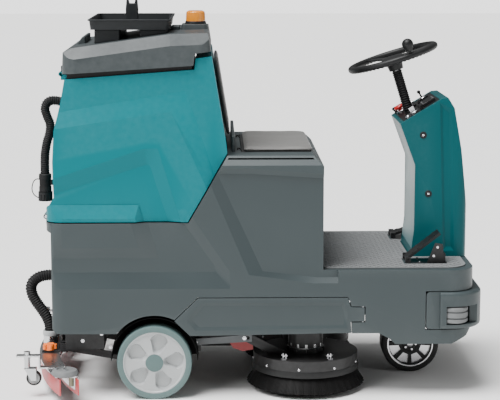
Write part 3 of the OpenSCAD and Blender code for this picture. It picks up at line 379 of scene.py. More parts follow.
def grain_group():
    """Fine moulded texture: two noises of different size, as a height and a colour mask."""
    group = bpy.data.node_groups.new("moulded_grain", "ShaderNodeTree")
    socket(group, "Size", "Float", 700.0)
    socket(group, "Patchiness", "Float", 6.0)
    socket(group, "Height", "Float", is_output=True)
    socket(group, "Patches", "Float", is_output=True)
    add = group.nodes.new
    start, end = add("NodeGroupInput"), add("NodeGroupOutput")
    place = add("ShaderNodeTexCoord")
    fine, broad = add("ShaderNodeTexNoise"), add("ShaderNodeTexNoise")
    give(fine, {"Detail": 3.0, "Roughness": 0.6})
    broad.inputs["Detail"].default_value = 4.0
    for noise, size in ((fine, "Size"), (broad, "Patchiness")):
        wire(group, (place, "Object", noise, "Vector"), (start, size, noise, "Scale"))
    wire(group, (fine, "Fac", end, "Height"), (broad, "Fac", end, "Patches"))
    return group


def wear_group():
    """Paler, scuffed edges: pointed places of the mesh, broken up by a noise."""
    group = bpy.data.node_groups.new("edge_wear", "ShaderNodeTree")
    socket(group, "Reach", "Float", 0.56)
    socket(group, "Scuffs", "Float", 60.0)
    socket(group, "Mask", "Float", is_output=True)
    add = group.nodes.new
    start, end = add("NodeGroupInput"), add("NodeGroupOutput")
    shape, place, noise = add("ShaderNodeNewGeometry"), add("ShaderNodeTexCoord"), add("ShaderNodeTexNoise")
    noise.inputs["Detail"].default_value = 5.0
    wire(group, (place, "Object", noise, "Vector"), (start, "Scuffs", noise, "Scale"))
    edge = add("ShaderNodeMapRange")
    edge.interpolation_type = "SMOOTHSTEP"
    wire(group, (shape, "Pointiness", edge, "Value"))
    edge.inputs["From Min"].default_value = 0.51
    wire(group, (start, "Reach", edge, "From Max"))
    product = add("ShaderNodeMath")
    product.operation = "MULTIPLY"
    wire(group, (edge, "Result", product, 0), (noise, "Fac", product, 1), (product, 0, end, "Mask"))
    return group


def dust_group():
    """Dust and splashes: strongest near the floor, fading with height, in soft patches."""
    group = bpy.data.node_groups.new("low_dust", "ShaderNodeTree")
    socket(group, "Top", "Float", 0.35)
    socket(group, "Patch Size", "Float", 14.0)
    socket(group, "Mask", "Float", is_output=True)
    add = group.nodes.new
    start, end = add("NodeGroupInput"), add("NodeGroupOutput")
    place, split, noise = add("ShaderNodeTexCoord"), add("ShaderNodeSeparateXYZ"), add("ShaderNodeTexNoise")
    noise.inputs["Detail"].default_value = 6.0
    wire(group, (place, "Object", split, "Vector"), (place, "Object", noise, "Vector"),
         (start, "Patch Size", noise, "Scale"))
    fade = add("ShaderNodeMapRange")
    wire(group, (split, "Z", fade, "Value"), (start, "Top", fade, "From Max"))
    give(fade, {"To Min": 1.0, "To Max": 0.0})
    product = add("ShaderNodeMath")
    product.operation = "MULTIPLY"
    wire(group, (fade, "Result", product, 0), (noise, "Fac", product, 1), (product, 0, end, "Mask"))
    return group


GRAIN, WEAR, DUST = grain_group(), wear_group(), dust_group()
print("groups", [g.name for g in (GRAIN, WEAR, DUST)])

# %% [markdown]
# Every finish starts from one recipe: its colour varies a little in broad patches, edges are paler,
# the low parts hold some dust, and the grain moves both the roughness and the bump. What is the same
# all over, such as a clear coat, is set on the shader itself.

# %% Finish recipe
def finish(name, colour, rough=0.45, grain=900.0, bump=0.12, metal=0.0, worn=0.25, dusty=0.25,
           vary=0.12, sheen=0.0, coat=0.0, dust_top=0.35, worn_colour=None, ior=None):
    material = bpy.data.materials.new(name)
    material.use_nodes = True
    tree = material.node_tree
    add, link = tree.nodes.new, tree.links.new
    shader = tree.nodes["Principled BSDF"]
    texture, wear, dust = add("ShaderNodeGroup"), add("ShaderNodeGroup"), add("ShaderNodeGroup")
    texture.node_tree, wear.node_tree, dust.node_tree = GRAIN, WEAR, DUST
    texture.inputs["Size"].default_value = grain
    dust.inputs["Top"].default_value = dust_top

    def mix(factor, a, b, share):
        """Blends two colours by a mask times a share."""
        node, times = add("ShaderNodeMix"), add("ShaderNodeMath")
        times.operation = "MULTIPLY"
        times.inputs[1].default_value = share
        link(factor, times.inputs[0])
        node.data_type = "RGBA"
        wire(tree, (times, 0, node, "Factor"))
        for place, value in ((6, a), (7, b)):
            if hasattr(value, "is_linked"):
                link(value, node.inputs[place])
            else:
                node.inputs[place].default_value = (*value, 1)
        return node.outputs[2]

    dark = tuple(c * 0.72 for c in colour)
    pale = worn_colour or tuple(min(1.0, c * 1.35 + 0.05) for c in colour)
    base = mix(texture.outputs["Patches"], colour, dark, vary * 2)
    edged = mix(wear.outputs["Mask"], base, pale, worn * 2)
    dusted = mix(dust.outputs["Mask"], edged, (0.33, 0.31, 0.28), dusty)
    link(dusted, shader.inputs["Base Color"])
    spread = add("ShaderNodeMapRange")
    wire(tree, (texture, "Patches", spread, "Value"))
    give(spread, {"From Min": 0.25, "From Max": 0.75, "To Min": max(0.04, rough - 0.06),
                  "To Max": min(1.0, rough + 0.08)})
    wire(tree, (spread, "Result", shader, "Roughness"))
    height = add("ShaderNodeBump")
    give(height, {"Strength": bump, "Distance": 0.0006})
    wire(tree, (texture, "Height", height, "Height"), (height, "Normal", shader, "Normal"))
    give(shader, {"Metallic": metal, "Sheen Weight": sheen, "Coat Weight": coat})
    if ior:
        shader.inputs["IOR"].default_value = ior
    return material


def linear(r, g, b):
    """A display colour, 0 to 255, as the shader's linear colour."""
    return tuple(((c / 255 + 0.055) / 1.055) ** 2.4 if c > 10 else c / 255 / 12.92 for c in (r, g, b))


BODY_GREY = finish("body_grey", linear(52, 61, 63), rough=0.42, grain=1100, bump=0.10, dusty=0.06, worn=0.12,
                   ior=1.4)
TANK_TEAL = finish("tank_teal", linear(0, 104, 112), rough=0.33, grain=900, bump=0.06, dusty=0.0, worn=0.12,
                   ior=1.22)
COLUMN_TEAL = finish("column_teal", linear(0, 76, 81), rough=0.34, grain=900, bump=0.06, dusty=0.0,
                     worn=0.12, ior=1.22)
PANEL_TEAL = finish("panel_teal", linear(64, 104, 108), rough=0.4, grain=900, bump=0.06, dusty=0.0)
LID_GREY = finish("lid_grey", linear(44, 51, 53), rough=0.45, grain=1000, bump=0.1, dusty=0.0, ior=1.4)
TRAY_GREY = finish("tray_grey", linear(28, 31, 33), rough=0.5, grain=1000, bump=0.12, dusty=0.0, ior=1.35,
                   worn=0.1)
BLACK_PLASTIC = finish("black_plastic", linear(16, 17, 18), rough=0.45, grain=1400, bump=0.2, dusty=0.02,
                       ior=1.35, worn=0.08)
# Painted shade: a near-black matte that stands for the shade inside the rear arches.
ARCH_PAINTED_SHADE = finish("gap_black", linear(9, 9, 10), rough=0.8, grain=800, bump=0.1, worn=0.0, dusty=0.02,
                  ior=1.2)
BLACK_STEEL = finish("black_steel", linear(12, 12, 13), rough=0.38, grain=500, bump=0.15, coat=0.1,
                     worn_colour=(0.25, 0.25, 0.26), worn=0.06, dusty=0.03, ior=1.35)
GREY_STEEL = finish("grey_steel", linear(70, 74, 77), rough=0.42, grain=500, bump=0.12, metal=0.35,
                    dusty=0.25)
STAINLESS = finish("stainless", (0.62, 0.63, 0.64), rough=0.26, grain=350, bump=0.06, metal=1.0, worn=0.0,
                   dusty=0.15)
ZINC = finish("zinc", (0.68, 0.68, 0.7), rough=0.24, grain=600, bump=0.05, metal=1.0, worn=0.0, dusty=0.1)
RUBBER = finish("black_rubber", linear(13, 13, 14), rough=0.62, grain=1200, bump=0.25, worn=0.06, dusty=0.03,
                ior=1.35)
GREY_RUBBER = finish("grey_rubber", linear(98, 100, 101), rough=0.7, grain=900, bump=0.3, worn=0.3,
                     dusty=0.05)
TYRE_GREY = finish("tyre_grey", linear(74, 98, 97), rough=0.55, grain=900, bump=0.15, dusty=0.06)
TYRE_DARK = finish("tyre_dark", linear(22, 23, 24), rough=0.6, grain=1200, bump=0.3, dusty=0.06, ior=1.35,
                   worn=0.1)
HUB_GREY = finish("hub_grey", linear(168, 171, 172), rough=0.36, grain=900, bump=0.05, dusty=0.08, worn=0.05)
BLADE_RED = finish("blade_red", linear(176, 44, 50), rough=0.4, grain=700, bump=0.08, dusty=0.12, worn=0.1)
FLAP_RED = finish("flap_red", linear(130, 12, 16), rough=0.5, grain=700, bump=0.08, dusty=0.1, worn=0.1)
BRISTLE = finish("bristle", linear(9, 9, 10), rough=0.5, grain=600, bump=0.1, worn=0.02, dusty=0.02, ior=1.2)
KNOB_ORANGE = finish("knob_orange", linear(250, 118, 20), rough=0.35, grain=900, bump=0.06, dusty=0.1,
                     worn=0.1)
SIGNAL_RED = finish("signal_red", linear(200, 22, 24), rough=0.32, grain=900, bump=0.04, dusty=0.0, worn=0.1)
NATURAL = finish("tank_natural", linear(226, 227, 218), rough=0.45, grain=900, bump=0.08, dusty=0.1)
KHAKI = finish("khaki", linear(150, 146, 120), rough=0.5, grain=900, bump=0.08, dusty=0.2)
print("finishes", len([m for m in bpy.data.materials if m.use_nodes]))

# %% [markdown]
# ## Where things are
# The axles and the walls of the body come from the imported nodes' own boxes, and the other places are
# steps from those, in millimetres.

# %% Main places
def corners(node):
    low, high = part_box(node)
    return low / MM, high / MM


REAR_AXLE = (corners("rear_wheel_right")[0].x + corners("rear_wheel_right")[1].x) / 2
FRONT_AXLE = (corners("front_wheel")[0].x + corners("front_wheel")[1].x) / 2
HALF_W = corners("lower_body")[1].y
BODY_FRONT = corners("lower_body")[1].x
TANK_HALF = corners("recovery_tank")[1].y
BODY_REAR = REAR_AXLE - 345
LIP_X = BODY_REAR - 17
TOE_LOW, TOE_TOP = REAR_AXLE + 118, REAR_AXLE + 249
SEAT_FRONT = TOE_TOP + 323
FLOOR_Z, SEAT_Z, SEAM_Z, SKIRT_Z, NOSE_Z = 443, 831, 606, 228, 188
ARCH_Z, ARCH_R = 133, 158
TANK_TOP = 1085
WALL, SIDE_WALL = 7, 18
print("axles", round(REAR_AXLE), round(FRONT_AXLE), "half width", round(HALF_W))

# %% [markdown]
# ## Moulded shells
# The body and the tank are rotationally moulded: thick soft-edged shells whose sides carry broad
# sloped facets. Each starts as its side outline, trimmed by its plan and by its end view. Its edges are
# rounded, and only then are the facets cut, so that they stay crisp. A facet is a region whose floor lies
# deeper than its edge, so one face between the two slopes. The hollow inside is cut last.

# %% Facet tool
def inset(points, w):
    """An outline's points (x, z) moved inwards by w, each along its own step (ix, iz)."""
    return [(x + ix * w, z + iz * w) for x, z, ix, iz in points]


def facet(piece, edge, floor, surface, depth):
    """Cuts a sloped recess into both sides; edge and floor are outlines (x, z), surface(z) the half width."""
    for side in (-1, 1):
        bm = bmesh.new()
        rings = []
        for outline, drop in ((edge, -30), (edge, 0), (floor, depth)):
            rings.append([bm.verts.new(Vector((x, side * (surface(z) - drop), z)) * MM) for x, z in outline])
        count = len(edge)
        bm.faces.new(rings[0])
        bm.faces.new(list(reversed(rings[2])))
        for a, b in ((rings[0], rings[1]), (rings[1], rings[2])):
            for i in range(count):
                j = (i + 1) % count
                bm.faces.new((a[i], b[i], b[j], a[j]))
        bmesh.ops.triangulate(bm, faces=[f for f in bm.faces if len(f.verts) > 4])
        cut(piece, from_bmesh("facet", bm))


def shell(outline, half, plan, section):
    """The outside and the inside of a shell: its outline, trimmed by its plan and its end view."""
    outer = prism(inset(outline, 0), -half, half)
    boolean(outer, plan(0), "INTERSECT")
    boolean(outer, section(), "INTERSECT")
    rounded(outer, 9, 4, 24)
    inner = prism(inset(outline, WALL), SIDE_WALL - half, half - SIDE_WALL)
    boolean(inner, plan(WALL), "INTERSECT")
    return outer, inner


# %% [markdown]
# ### Lower body
# The body is one moulding that carries everything: rear part, seat base and standing platform. The
# wheel arches, the door openings, the bumper's recess and the seat's opening are cut through it.

# %% Lower body
BODY_OUTLINE = [
    (BODY_REAR + 13, SKIRT_Z, 0, -30), (BODY_REAR, SKIRT_Z + 14, 1, -30),
    (BODY_REAR, 572, 1, 0), (LIP_X, 577, 3, 0), (LIP_X, SEAM_Z, 3.4, -1),
    (TOE_LOW, SEAM_Z, 0.576, -1), (TOE_TOP, SEAT_Z, 0.576, -1),
    (SEAT_FRONT - 33, SEAT_Z, -0.4, -1), (SEAT_FRONT, SEAT_Z - 33, -1, -0.4),
    (SEAT_FRONT, FLOOR_Z, -1, -1), (BODY_FRONT, FLOOR_Z, -1, -1),
    (BODY_FRONT, NOSE_Z + 60, -1, -40), (BODY_FRONT - 26, NOSE_Z + 24, 0, -40),
    (BODY_FRONT - 80, NOSE_Z, 0, -40), (FRONT_AXLE - 93, NOSE_Z, 0, -40),
    (FRONT_AXLE - 110, NOSE_Z + 18, 0, -40), (FRONT_AXLE - 149, SKIRT_Z - 2, 0, -30)]
PAST_REAR = -760
DOOR_X = REAR_AXLE + 68
DOOR_HINGE = REAR_AXLE + 707


def body_plan(w):
    return prism(round_rect(LIP_X + w, BODY_FRONT - w, w - HALF_W, HALF_W - w, (60, 90, 90, 60), 12),
                 -100, SEAT_Z + 10, "z")


def body_section():
    edge = SEAT_Z - 30
    return prism([(-HALF_W, -110), (HALF_W, -110), (HALF_W, edge), (HALF_W - 30, SEAT_Z + 0.01),
                  (30 - HALF_W, SEAT_Z + 0.01), (-HALF_W, edge)], LIP_X - 5, BODY_FRONT + 5, "x")


def door_outline(g):
    """Outline of the door over the brush deck; g is the gap round it."""
    return [(DOOR_X - 1.4 * g, 271), (DOOR_X + 80 - 0.4 * g, 350 + g), (DOOR_X + 588, 350 + g),
            (DOOR_X + 598 + g, 318 + g), (DOOR_HINGE + 6 + g, 316 + g), (DOOR_HINGE + 6 + g, 267 - g),
            (DOOR_X + 598 + g, 266 - g), (DOOR_X + 601 + g, SKIRT_Z - 1 - 8 * g),
            (DOOR_X + 53 - 0.4 * g, SKIRT_Z - 9 - 8 * g)]


body, body_inside = shell(BODY_OUTLINE, HALF_W, body_plan, body_section)
BODY_STEP = ([(PAST_REAR, 524), (-372, 524), (-416, 660), (-214, 660), (-66, 440), (-66, 383),
              (PAST_REAR, 383)],
             [(PAST_REAR, 486), (-306, 486), (-356, 660), (-262, 660), (-118, 460), (-118, 438),
              (PAST_REAR, 438)])
SEAT_STEP = ([(-154, 792), (-2, 430), (SEAT_FRONT - 30, 400), (SEAT_FRONT + 50, 400), (SEAT_FRONT + 50, 770),
              (-20, 792)],
             [(-108, 772), (44, 440), (SEAT_FRONT - 20, 418), (SEAT_FRONT + 50, 418), (SEAT_FRONT + 50, 752),
              (0, 772)])


def above_arch(r, first, last, low_end, top_edge):
    """A band from the rear wall over the wheel arch: its top edge, the arch and its low end."""
    return [*top_edge, *arc(REAR_AXLE, ARCH_Z, r, first, last, 14), low_end, (PAST_REAR, low_end[1])]


ARCH_STEP = (above_arch(174, 66, 136, (-474, 252), [(PAST_REAR, 383), (-88, 383), (-150, 369)]),
             above_arch(196, 70, 132, (-500, 272), [(PAST_REAR, 340), (-150, 340), (-200, 336)]))
for step in (BODY_STEP, SEAT_STEP, ARCH_STEP):
    facet(body, *step, lambda z: HALF_W, 13)
inner_half = HALF_W - SIDE_WALL
inner_view = [(-inner_half, 0), (inner_half, 0), (inner_half, 1200), (-inner_half, 1200)]
boolean(body_inside, prism(inner_view, -900, 900, "x"), "INTERSECT")
cut(body, body_inside)


def across(side, near, far):
    """Low and high y of a stretch on one side, given by its distances from the middle."""
    return sorted((side * near, side * far))


def arch_disc(side, r, near, far):
    return disc((REAR_AXLE, ARCH_Z), r, *across(side, HALF_W + near, HALF_W + far), "y", 72)


for side in (-1, 1):
    door_opening = prism(door_outline(2.5), *across(side, HALF_W - 40, HALF_W + 5))
    cut(body, arch_disc(side, ARCH_R, -94, 9), door_opening)
bumper_seat = box((FRONT_AXLE + 9, -HALF_W - 5, 237), (BODY_FRONT + 5, HALF_W + 5, 371))
cut(bumper_seat, box((FRONT_AXLE, 64 - HALF_W, 200), (BODY_FRONT - 64, HALF_W - 64, 400)))
cut(body, bumper_seat, box((TOE_TOP + 52, -225, SEAT_Z - 40), (TOE_TOP + 276, 225, SEAT_Z + 5)),
    box((TOE_TOP + 47, -256, SEAT_Z - 11), (TOE_TOP + 287, 256, SEAT_Z + 5)),
    box((FRONT_AXLE + 13, -100, FLOOR_Z - 30), (BODY_FRONT - 12, 100, FLOOR_Z + 5)),
    disc((0, 353), 23, BODY_REAR - 5, BODY_REAR + 30, "x", 32))
LINERS = []
for side in (-1, 1):
    liner = arch_disc(side, ARCH_R + 5, -99, -12)
    cut(liner, arch_disc(side, ARCH_R, -94, 5), box((-900, -500, -100), (400, 500, SKIRT_Z + 1)))
    LINERS.append(liner)
upstand = box((TOE_TOP + 15, -250, SEAT_Z - 3), (TOE_TOP + 27, 250, SEAT_Z + 54))
ledge = box((TOE_TOP + 33, -262, SEAT_Z - 18), (TOE_TOP + 294, 262, SEAT_Z - 11))
rounded(upstand, 4, 3)
smooth(body, creases=[*BODY_STEP, *SEAT_STEP, *ARCH_STEP])
for extra in (*LINERS, upstand, ledge):
    joined(body, smooth(extra))
HINGE = (LIP_X - 10, SEAM_Z + 2)


def body_knuckles():
    return merged(part for y in (166, 224) for part in
                  (disc(HINGE, 9, y, y + 14, "y", 24), box((HINGE[0], y, 583), (LIP_X + 3, y + 14, SEAM_Z))))


joined(body, smooth(both(body_knuckles)))
dress(body, "body_shell", BODY_GREY, "machine", "body_grey", "lower_body")

# %% [markdown]
# ### Side doors
# A long hexagonal panel covers the brush deck on each side, with a tab at its front where it turns on a
# pin. It is a plain slab with a softly rounded edge and a shallow sunk field.

# %% Side doors
for side, name in SIDES:
    door = prism(door_outline(0), *across(side, HALF_W - 12, HALF_W))
    rounded(door, 2.5, 3, 40)
    edge = [(DOOR_X + 92, 334), (DOOR_X + 574, 334), (DOOR_X + 586, 300), (DOOR_X + 586, 244),
            (DOOR_X + 72, 238), (DOOR_X + 40, 272)]
    floor_edge = [(DOOR_X + 100, 322), (DOOR_X + 566, 322), (DOOR_X + 574, 298), (DOOR_X + 574, 254),
                  (DOOR_X + 84, 250), (DOOR_X + 60, 274)]
    facet(door, edge, floor_edge, lambda z: HALF_W, 4)
    cut(door, disc((DOOR_HINGE, side * (HALF_W - 6)), 3.2, 200, 400, "z", 20))
    smooth(door, creases=[edge, floor_edge])
    near, far = across(side, HALF_W - 17, HALF_W - 11)
    catch = box((REAR_AXLE + 230, near, 300), (REAR_AXLE + 410, far, 314))
    joined(door, smooth(rounded(catch, 1.5, 2)))
    dress(door, "door_panel_" + name, BODY_GREY, "side_door_" + name, "body_grey", "side_door_" + name)

# %% [markdown]
# ### Bumper
# The bumper wraps the nose. It bulges past the body, and its two corners hold a rubber roller that
# turns along a wall.

# %% Bumper
def bumper_plan(out, half, back, nose):
    return round_rect(FRONT_AXLE - 288, BODY_FRONT + out, -half, half, (back, nose, nose, back), 16)


bumper = prism(bumper_plan(31, HALF_W + 12, 60, 112), 240, 368, "z")
cut(bumper, box((FRONT_AXLE - 400, -500, 200), (FRONT_AXLE + 12, 500, 400)))
rounded(bumper, 12, 4, 40)
ROLLER_X, ROLLER_Y = FRONT_AXLE + 108, HALF_W - 36
cut(bumper, prism(round_rect(FRONT_AXLE - 388, BODY_FRONT - 56, 58 - HALF_W, HALF_W - 58, 50), 239, 369, "z"),
    box((FRONT_AXLE + 11, -240, 239), (BODY_FRONT - 8, 240, 369)))
for side in (-1, 1):
    pocket, notch = across(side, ROLLER_Y, 430), across(side, HALF_W + 1, 440)
    cut(bumper, disc((ROLLER_X, side * ROLLER_Y), 56, 256, 319, "z", 64),
        box((ROLLER_X, pocket[0], 256), (BODY_FRONT + 70, pocket[1], 319)),
        box((FRONT_AXLE + 5, notch[0], 230), (FRONT_AXLE + 58, notch[1], 380)))
smooth(bumper, 34)
dress(bumper, "bumper_shell", BODY_GREY, "machine", "body_grey", "front_bumper")

# %% [markdown]
# A ribbed roller is turned about its own axis: its profile has two grooves, so a lathe-like spin of a
# few points gives it exactly.

# %% Lathe tool and bumper rollers
def turned(profile, steps=64):
    """Turns (r, z) points about the upright axis. A profile that starts and ends on the axis is solid."""
    bm = bmesh.new()
    rings = []
    for r, z in profile:
        if r < ON_AXIS:
            rings.append([bm.verts.new((0, 0, z * MM))] * steps)
        else:
            rings.append([bm.verts.new((r * MM * cos(tau * i / steps), r * MM * sin(tau * i / steps), z * MM))
                          for i in range(steps)])
    for a, b in zip(rings, rings[1:] + rings[:1]):
        for i in range(steps):
            j = (i + 1) % steps
            loop = []
            for v in (a[i], a[j], b[j], b[i]):
                if v not in loop:
                    loop.append(v)
            if len(loop) > 2:
                bm.faces.new(loop)
    return from_bmesh("turned", bm)


def at(piece, x, y, z, turn=None):
    matrix = Matrix.Translation(Vector((x, y, z)) * MM)
    return moved(piece, matrix @ turn if turn else matrix)


ACROSS = Matrix.Rotation(radians(90), 4, "X")
for side, name in SIDES:
    profile = [(6.5, -2), (12, -2), (12, 0), (46, 0), (50, 4), (50, 13), (46, 15), (46, 18), (50, 20),
               (50, 35), (46, 37), (46, 40), (50, 42), (50, 51), (46, 55), (12, 55), (12, 57), (6.5, 57)]
    roller = smooth(at(turned(profile), ROLLER_X, side * ROLLER_Y, 260), 40)
    dress(roller, "wall_roller_" + name, GREY_RUBBER, "bumper_roller_" + name, "body_grey",
          "bumper_roller_" + name)

# %% [markdown]
# ### Recovery tank
# The teal tank leans with the seat back. Its sides slope in towards the top, and a broad raised field on
# each side is bounded by sloped bands.

# %% Recovery tank
TANK_OUTLINE = [
    (LIP_X, SEAM_Z + 4, 1, 1), (LIP_X, SEAM_Z + 40, 1, 0), (BODY_REAR + 12, SEAM_Z + 85, 1, 0),
    (BODY_REAR + 10, SEAM_Z + 206, 1, 0), (BODY_REAR + 16, SEAM_Z + 309, 1, 0),
    (BODY_REAR + 39, SEAM_Z + 407, 1, 0), (BODY_REAR + 52, TANK_TOP, 1, -1),
    (TOE_LOW + 22, TANK_TOP + 32, 0, -1), (TOE_LOW + 26, TANK_TOP + 69, 0, -1),
    (TOE_LOW + 80, TANK_TOP + 76, -1, -1), (TOE_TOP - 4, SEAT_Z + 44, -1, 0),
    (TOE_TOP, SEAT_Z + 8, -1, 0.6), (TOE_LOW - 2.3, SEAM_Z + 4, -0.6, 1)]


def tank_plan(w):
    return prism(round_rect(LIP_X + w, TOE_TOP + 60 - w, w - TANK_HALF, TANK_HALF - w, (58, 40, 40, 58), 12),
                 SEAM_Z, TANK_TOP + 100, "z")


def tank_section(w=0):
    top = TANK_TOP + 90
    half = TANK_HALF - w
    return prism([(-half, SEAM_Z), (half, SEAM_Z), (half, SEAM_Z + 50), (half - 30, top), (30 - half, top),
                  (-half, SEAM_Z + 50)], LIP_X - 5, TOE_TOP + 80, "x")


def tank_side(z):
    return TANK_HALF - 30 * max(0, z - SEAM_Z - 50) / (TANK_TOP + 40 - SEAM_Z)


tank, tank_inside = shell(TANK_OUTLINE, TANK_HALF, tank_plan, tank_section)
boolean(tank_inside, tank_section(23), "INTERSECT")
TANK_TOP_STEP = ([(PAST_REAR, 905), (-262, 980), (-149, 735), (-82, 590), (100, 590), (100, 1300),
                  (PAST_REAR, 1300)],
                 [(PAST_REAR, 956), (-212, 1046), (-113, 753), (-42, 590), (100, 590), (100, 1300),
                  (PAST_REAR, 1300)])
TANK_LOW_STEP = ([(PAST_REAR, 722), (-352, 857), (-306, 857), (-214, 560), (-372, 560), (-384, 622),
                  (PAST_REAR, 622)],
                 [(PAST_REAR, 668), (-350, 799), (-334, 799), (-258, 560), (-340, 560), (-372, 667),
                  (PAST_REAR, 667)])
facet(tank, *TANK_TOP_STEP, tank_side, 18)
facet(tank, *TANK_LOW_STEP, tank_side, 18)
cut(tank, tank_inside)
cut(tank, prism(round_rect(BODY_REAR + 84, TOE_LOW - 12, -290, 290, 40), TANK_TOP - 60, TANK_TOP + 60, "z"),
    disc((-90, 985), 18, BODY_REAR - 5, BODY_REAR + 75, "x", 32))
smooth(tank, creases=[*TANK_TOP_STEP, *TANK_LOW_STEP])
LID_HINGE = (BODY_REAR + 32, TANK_TOP + 11)


def tank_lugs():
    lug = disc(HINGE, 9, 181, 223, "y", 24)
    joined(lug, box((LIP_X - 10, 181, SEAM_Z + 5), (LIP_X + 3, 223, SEAM_Z + 30)),
           disc(LID_HINGE, 4, 184, 238, "y", 20))
    for y in (184, 226):
        joined(lug, disc(LID_HINGE, 8, y, y + 12, "y", 24),
               box((LID_HINGE[0], y, LID_HINGE[1] - 20), (LID_HINGE[0] + 25, y + 12, LID_HINGE[1] - 3)))
    return lug


joined(tank, smooth(both(tank_lugs)))
dress(tank, "tank_shell", TANK_TEAL, "recovery_tank", "tank_teal", "recovery_tank")

# %% [markdown]
# ### Lid
# The grey lid caps the tank with a deep skirt. Its long top edges are chamfered, and a plinth at the
# front carries the beacon.

# %% Lid
LID_OUTLINE = [
    (BODY_REAR + 42, 1102, 1, -30), (BODY_REAR + 47, 1174, 1, 0), (BODY_REAR + 76, 1188, 0.4, -1),
    (TOE_LOW - 59, 1234, 0, -1), (TOE_LOW + 67, 1238, -1, -1), (TOE_LOW + 77, 1177, -1.2, 1),
    (TOE_LOW + 24, 1171, -1.2, 1), (TOE_LOW + 19, 1131, -1.2, -30)]
LID_HALF = 344
lid = prism(inset(LID_OUTLINE, 0), -LID_HALF, LID_HALF)
boolean(lid, prism(round_rect(BODY_REAR + 42, TOE_LOW + 77, -LID_HALF, LID_HALF, (50, 36, 36, 50), 12),
                   TANK_TOP, TANK_TOP + 200, "z"), "INTERSECT")
ridge = [(BODY_REAR + 30, 1172), (BODY_REAR + 76, 1188), (TOE_LOW - 59, 1234), (TOE_LOW + 90, 1239)]
for side in (-1, 1):
    for (x0, z0), (x1, z1) in zip(ridge, ridge[1:]):
        wedge = [[(side * (LID_HALF + 2), z - 40), (side * (LID_HALF + 2), z + 4),
                  (side * (LID_HALF - 30), z + 4), (side * (LID_HALF - 28), z)] for z in (z0, z1)]
        cut(lid, prism(wedge[0], x0 - 0.01, x1 + 0.01, "x", wedge[1]))
rounded(lid, 7, 3, 26)
cut(lid, prism([(BODY_REAR + 56, 1080), (BODY_REAR + 56, 1160), (BODY_REAR + 84, 1174), (TOE_LOW - 59, 1218),
                (TOE_LOW + 56, 1222), (TOE_LOW + 60, 1188), (TOE_LOW + 14, 1184), (TOE_LOW + 8, 1080)],
               36 - LID_HALF, LID_HALF - 36))
smooth(lid, 30)
plinth = prism(round_rect(TOE_LOW - 29, TOE_LOW + 68, -60, 60, 14), 1224, 1254, "z",
               round_rect(TOE_LOW - 25, TOE_LOW + 62, -54, 54, 12))
hump = prism([(BODY_REAR + 66, 1176), (BODY_REAR + 108, 1176), (BODY_REAR + 108, 1216),
              (BODY_REAR + 98, 1216)], -120, 120)
block = box((TOE_LOW - 62, -46, 1226), (TOE_LOW - 32, 46, 1248))
for extra in (rounded(plinth, 3, 2), rounded(hump, 4, 3), rounded(block, 4, 3)):
    joined(lid, smooth(extra))


def lid_knuckle():
    return joined(disc(LID_HINGE, 8, 197, 225, "y", 24),
                  box((LID_HINGE[0], 197, LID_HINGE[1] + 3), (BODY_REAR + 47, 225, LID_HINGE[1] + 26)))


joined(lid, smooth(both(lid_knuckle)))
dress(lid, "lid_shell", LID_GREY, "tank_lid", "lid_grey", "tank_lid")

# %% [markdown]
# ### Column cover
# The steering column wears a two-part cover: a teal shell and a paler panel that faces the rider. A
# groove runs down each side near the front.

# %% Column cover
COLUMN_X, COLUMN_HALF = FRONT_AXLE - 17, 150
DASH_LOW, DASH_HIGH = (FRONT_AXLE - 59, FLOOR_Z + 471), (FRONT_AXLE + 85, FLOOR_Z + 559)
DASH_TURN = atan2(DASH_HIGH[1] - DASH_LOW[1], DASH_HIGH[0] - DASH_LOW[0])
DASH_LEN = hypot(DASH_HIGH[0] - DASH_LOW[0], DASH_HIGH[1] - DASH_LOW[1])
COLUMN_OUTLINE = [
    (COLUMN_X, FLOOR_Z + 0.4, 1, 1), (COLUMN_X + 11, FLOOR_Z + 98, 1, 0),
    (COLUMN_X + 11, FLOOR_Z + 327, 1, 0),
    (*DASH_LOW, 0.8, -1), (*DASH_HIGH, 0, -1.2), (DASH_HIGH[0] + 22, DASH_HIGH[1] + 2, -0.6, -1),
    (DASH_HIGH[0] + 44, DASH_HIGH[1] - 34, -1, 0), (FRONT_AXLE + 156, FLOOR_Z + 380, -1, 0),
    (FRONT_AXLE + 179, FLOOR_Z + 186, -1, 0), (COLUMN_X + 198, FLOOR_Z + 0.4, -1, 1)]
IN_DASH = Matrix.Translation(Vector((DASH_LOW[0], 0, DASH_LOW[1])) * MM) @ Matrix.Rotation(-DASH_TURN, 4, "Y")


def column_plan(w):
    return prism(round_rect(COLUMN_X - 60 + w, COLUMN_X + 198 - w, w - COLUMN_HALF, COLUMN_HALF - w,
                            (12, 40, 40, 12), 10), 0, 1200, "z")


column = boolean(prism(inset(COLUMN_OUTLINE, 0), -COLUMN_HALF, COLUMN_HALF), column_plan(0), "INTERSECT")
rounded(column, 7, 4, 24)
GROOVE = ([(684, 466), (722, 466), (708, 966), (664, 988)], [(692, 480), (712, 480), (698, 952), (675, 970)])
facet(column, *GROOVE, lambda z: COLUMN_HALF, 6)
column_inside = boolean(prism(inset(COLUMN_OUTLINE, WALL), 14 - COLUMN_HALF, COLUMN_HALF - 14),
                        column_plan(WALL), "INTERSECT")
cut(column, column_inside)
cut(column, prism([(COLUMN_X - 80, FLOOR_Z + 30), (COLUMN_X + 26, FLOOR_Z + 30),
                   (COLUMN_X + 26, FLOOR_Z + 330), (DASH_LOW[0] + 16, DASH_LOW[1] - 22),
                   (DASH_LOW[0] - 40, DASH_LOW[1] - 22)], 14 - COLUMN_HALF, COLUMN_HALF - 14),
    moved(box((14, 14 - COLUMN_HALF, -30), (DASH_LEN - 8, COLUMN_HALF - 14, 30)), IN_DASH),
    box((COLUMN_X + 16, 16 - COLUMN_HALF, FLOOR_Z - 5), (COLUMN_X + 184, COLUMN_HALF - 16, FLOOR_Z + 20)))
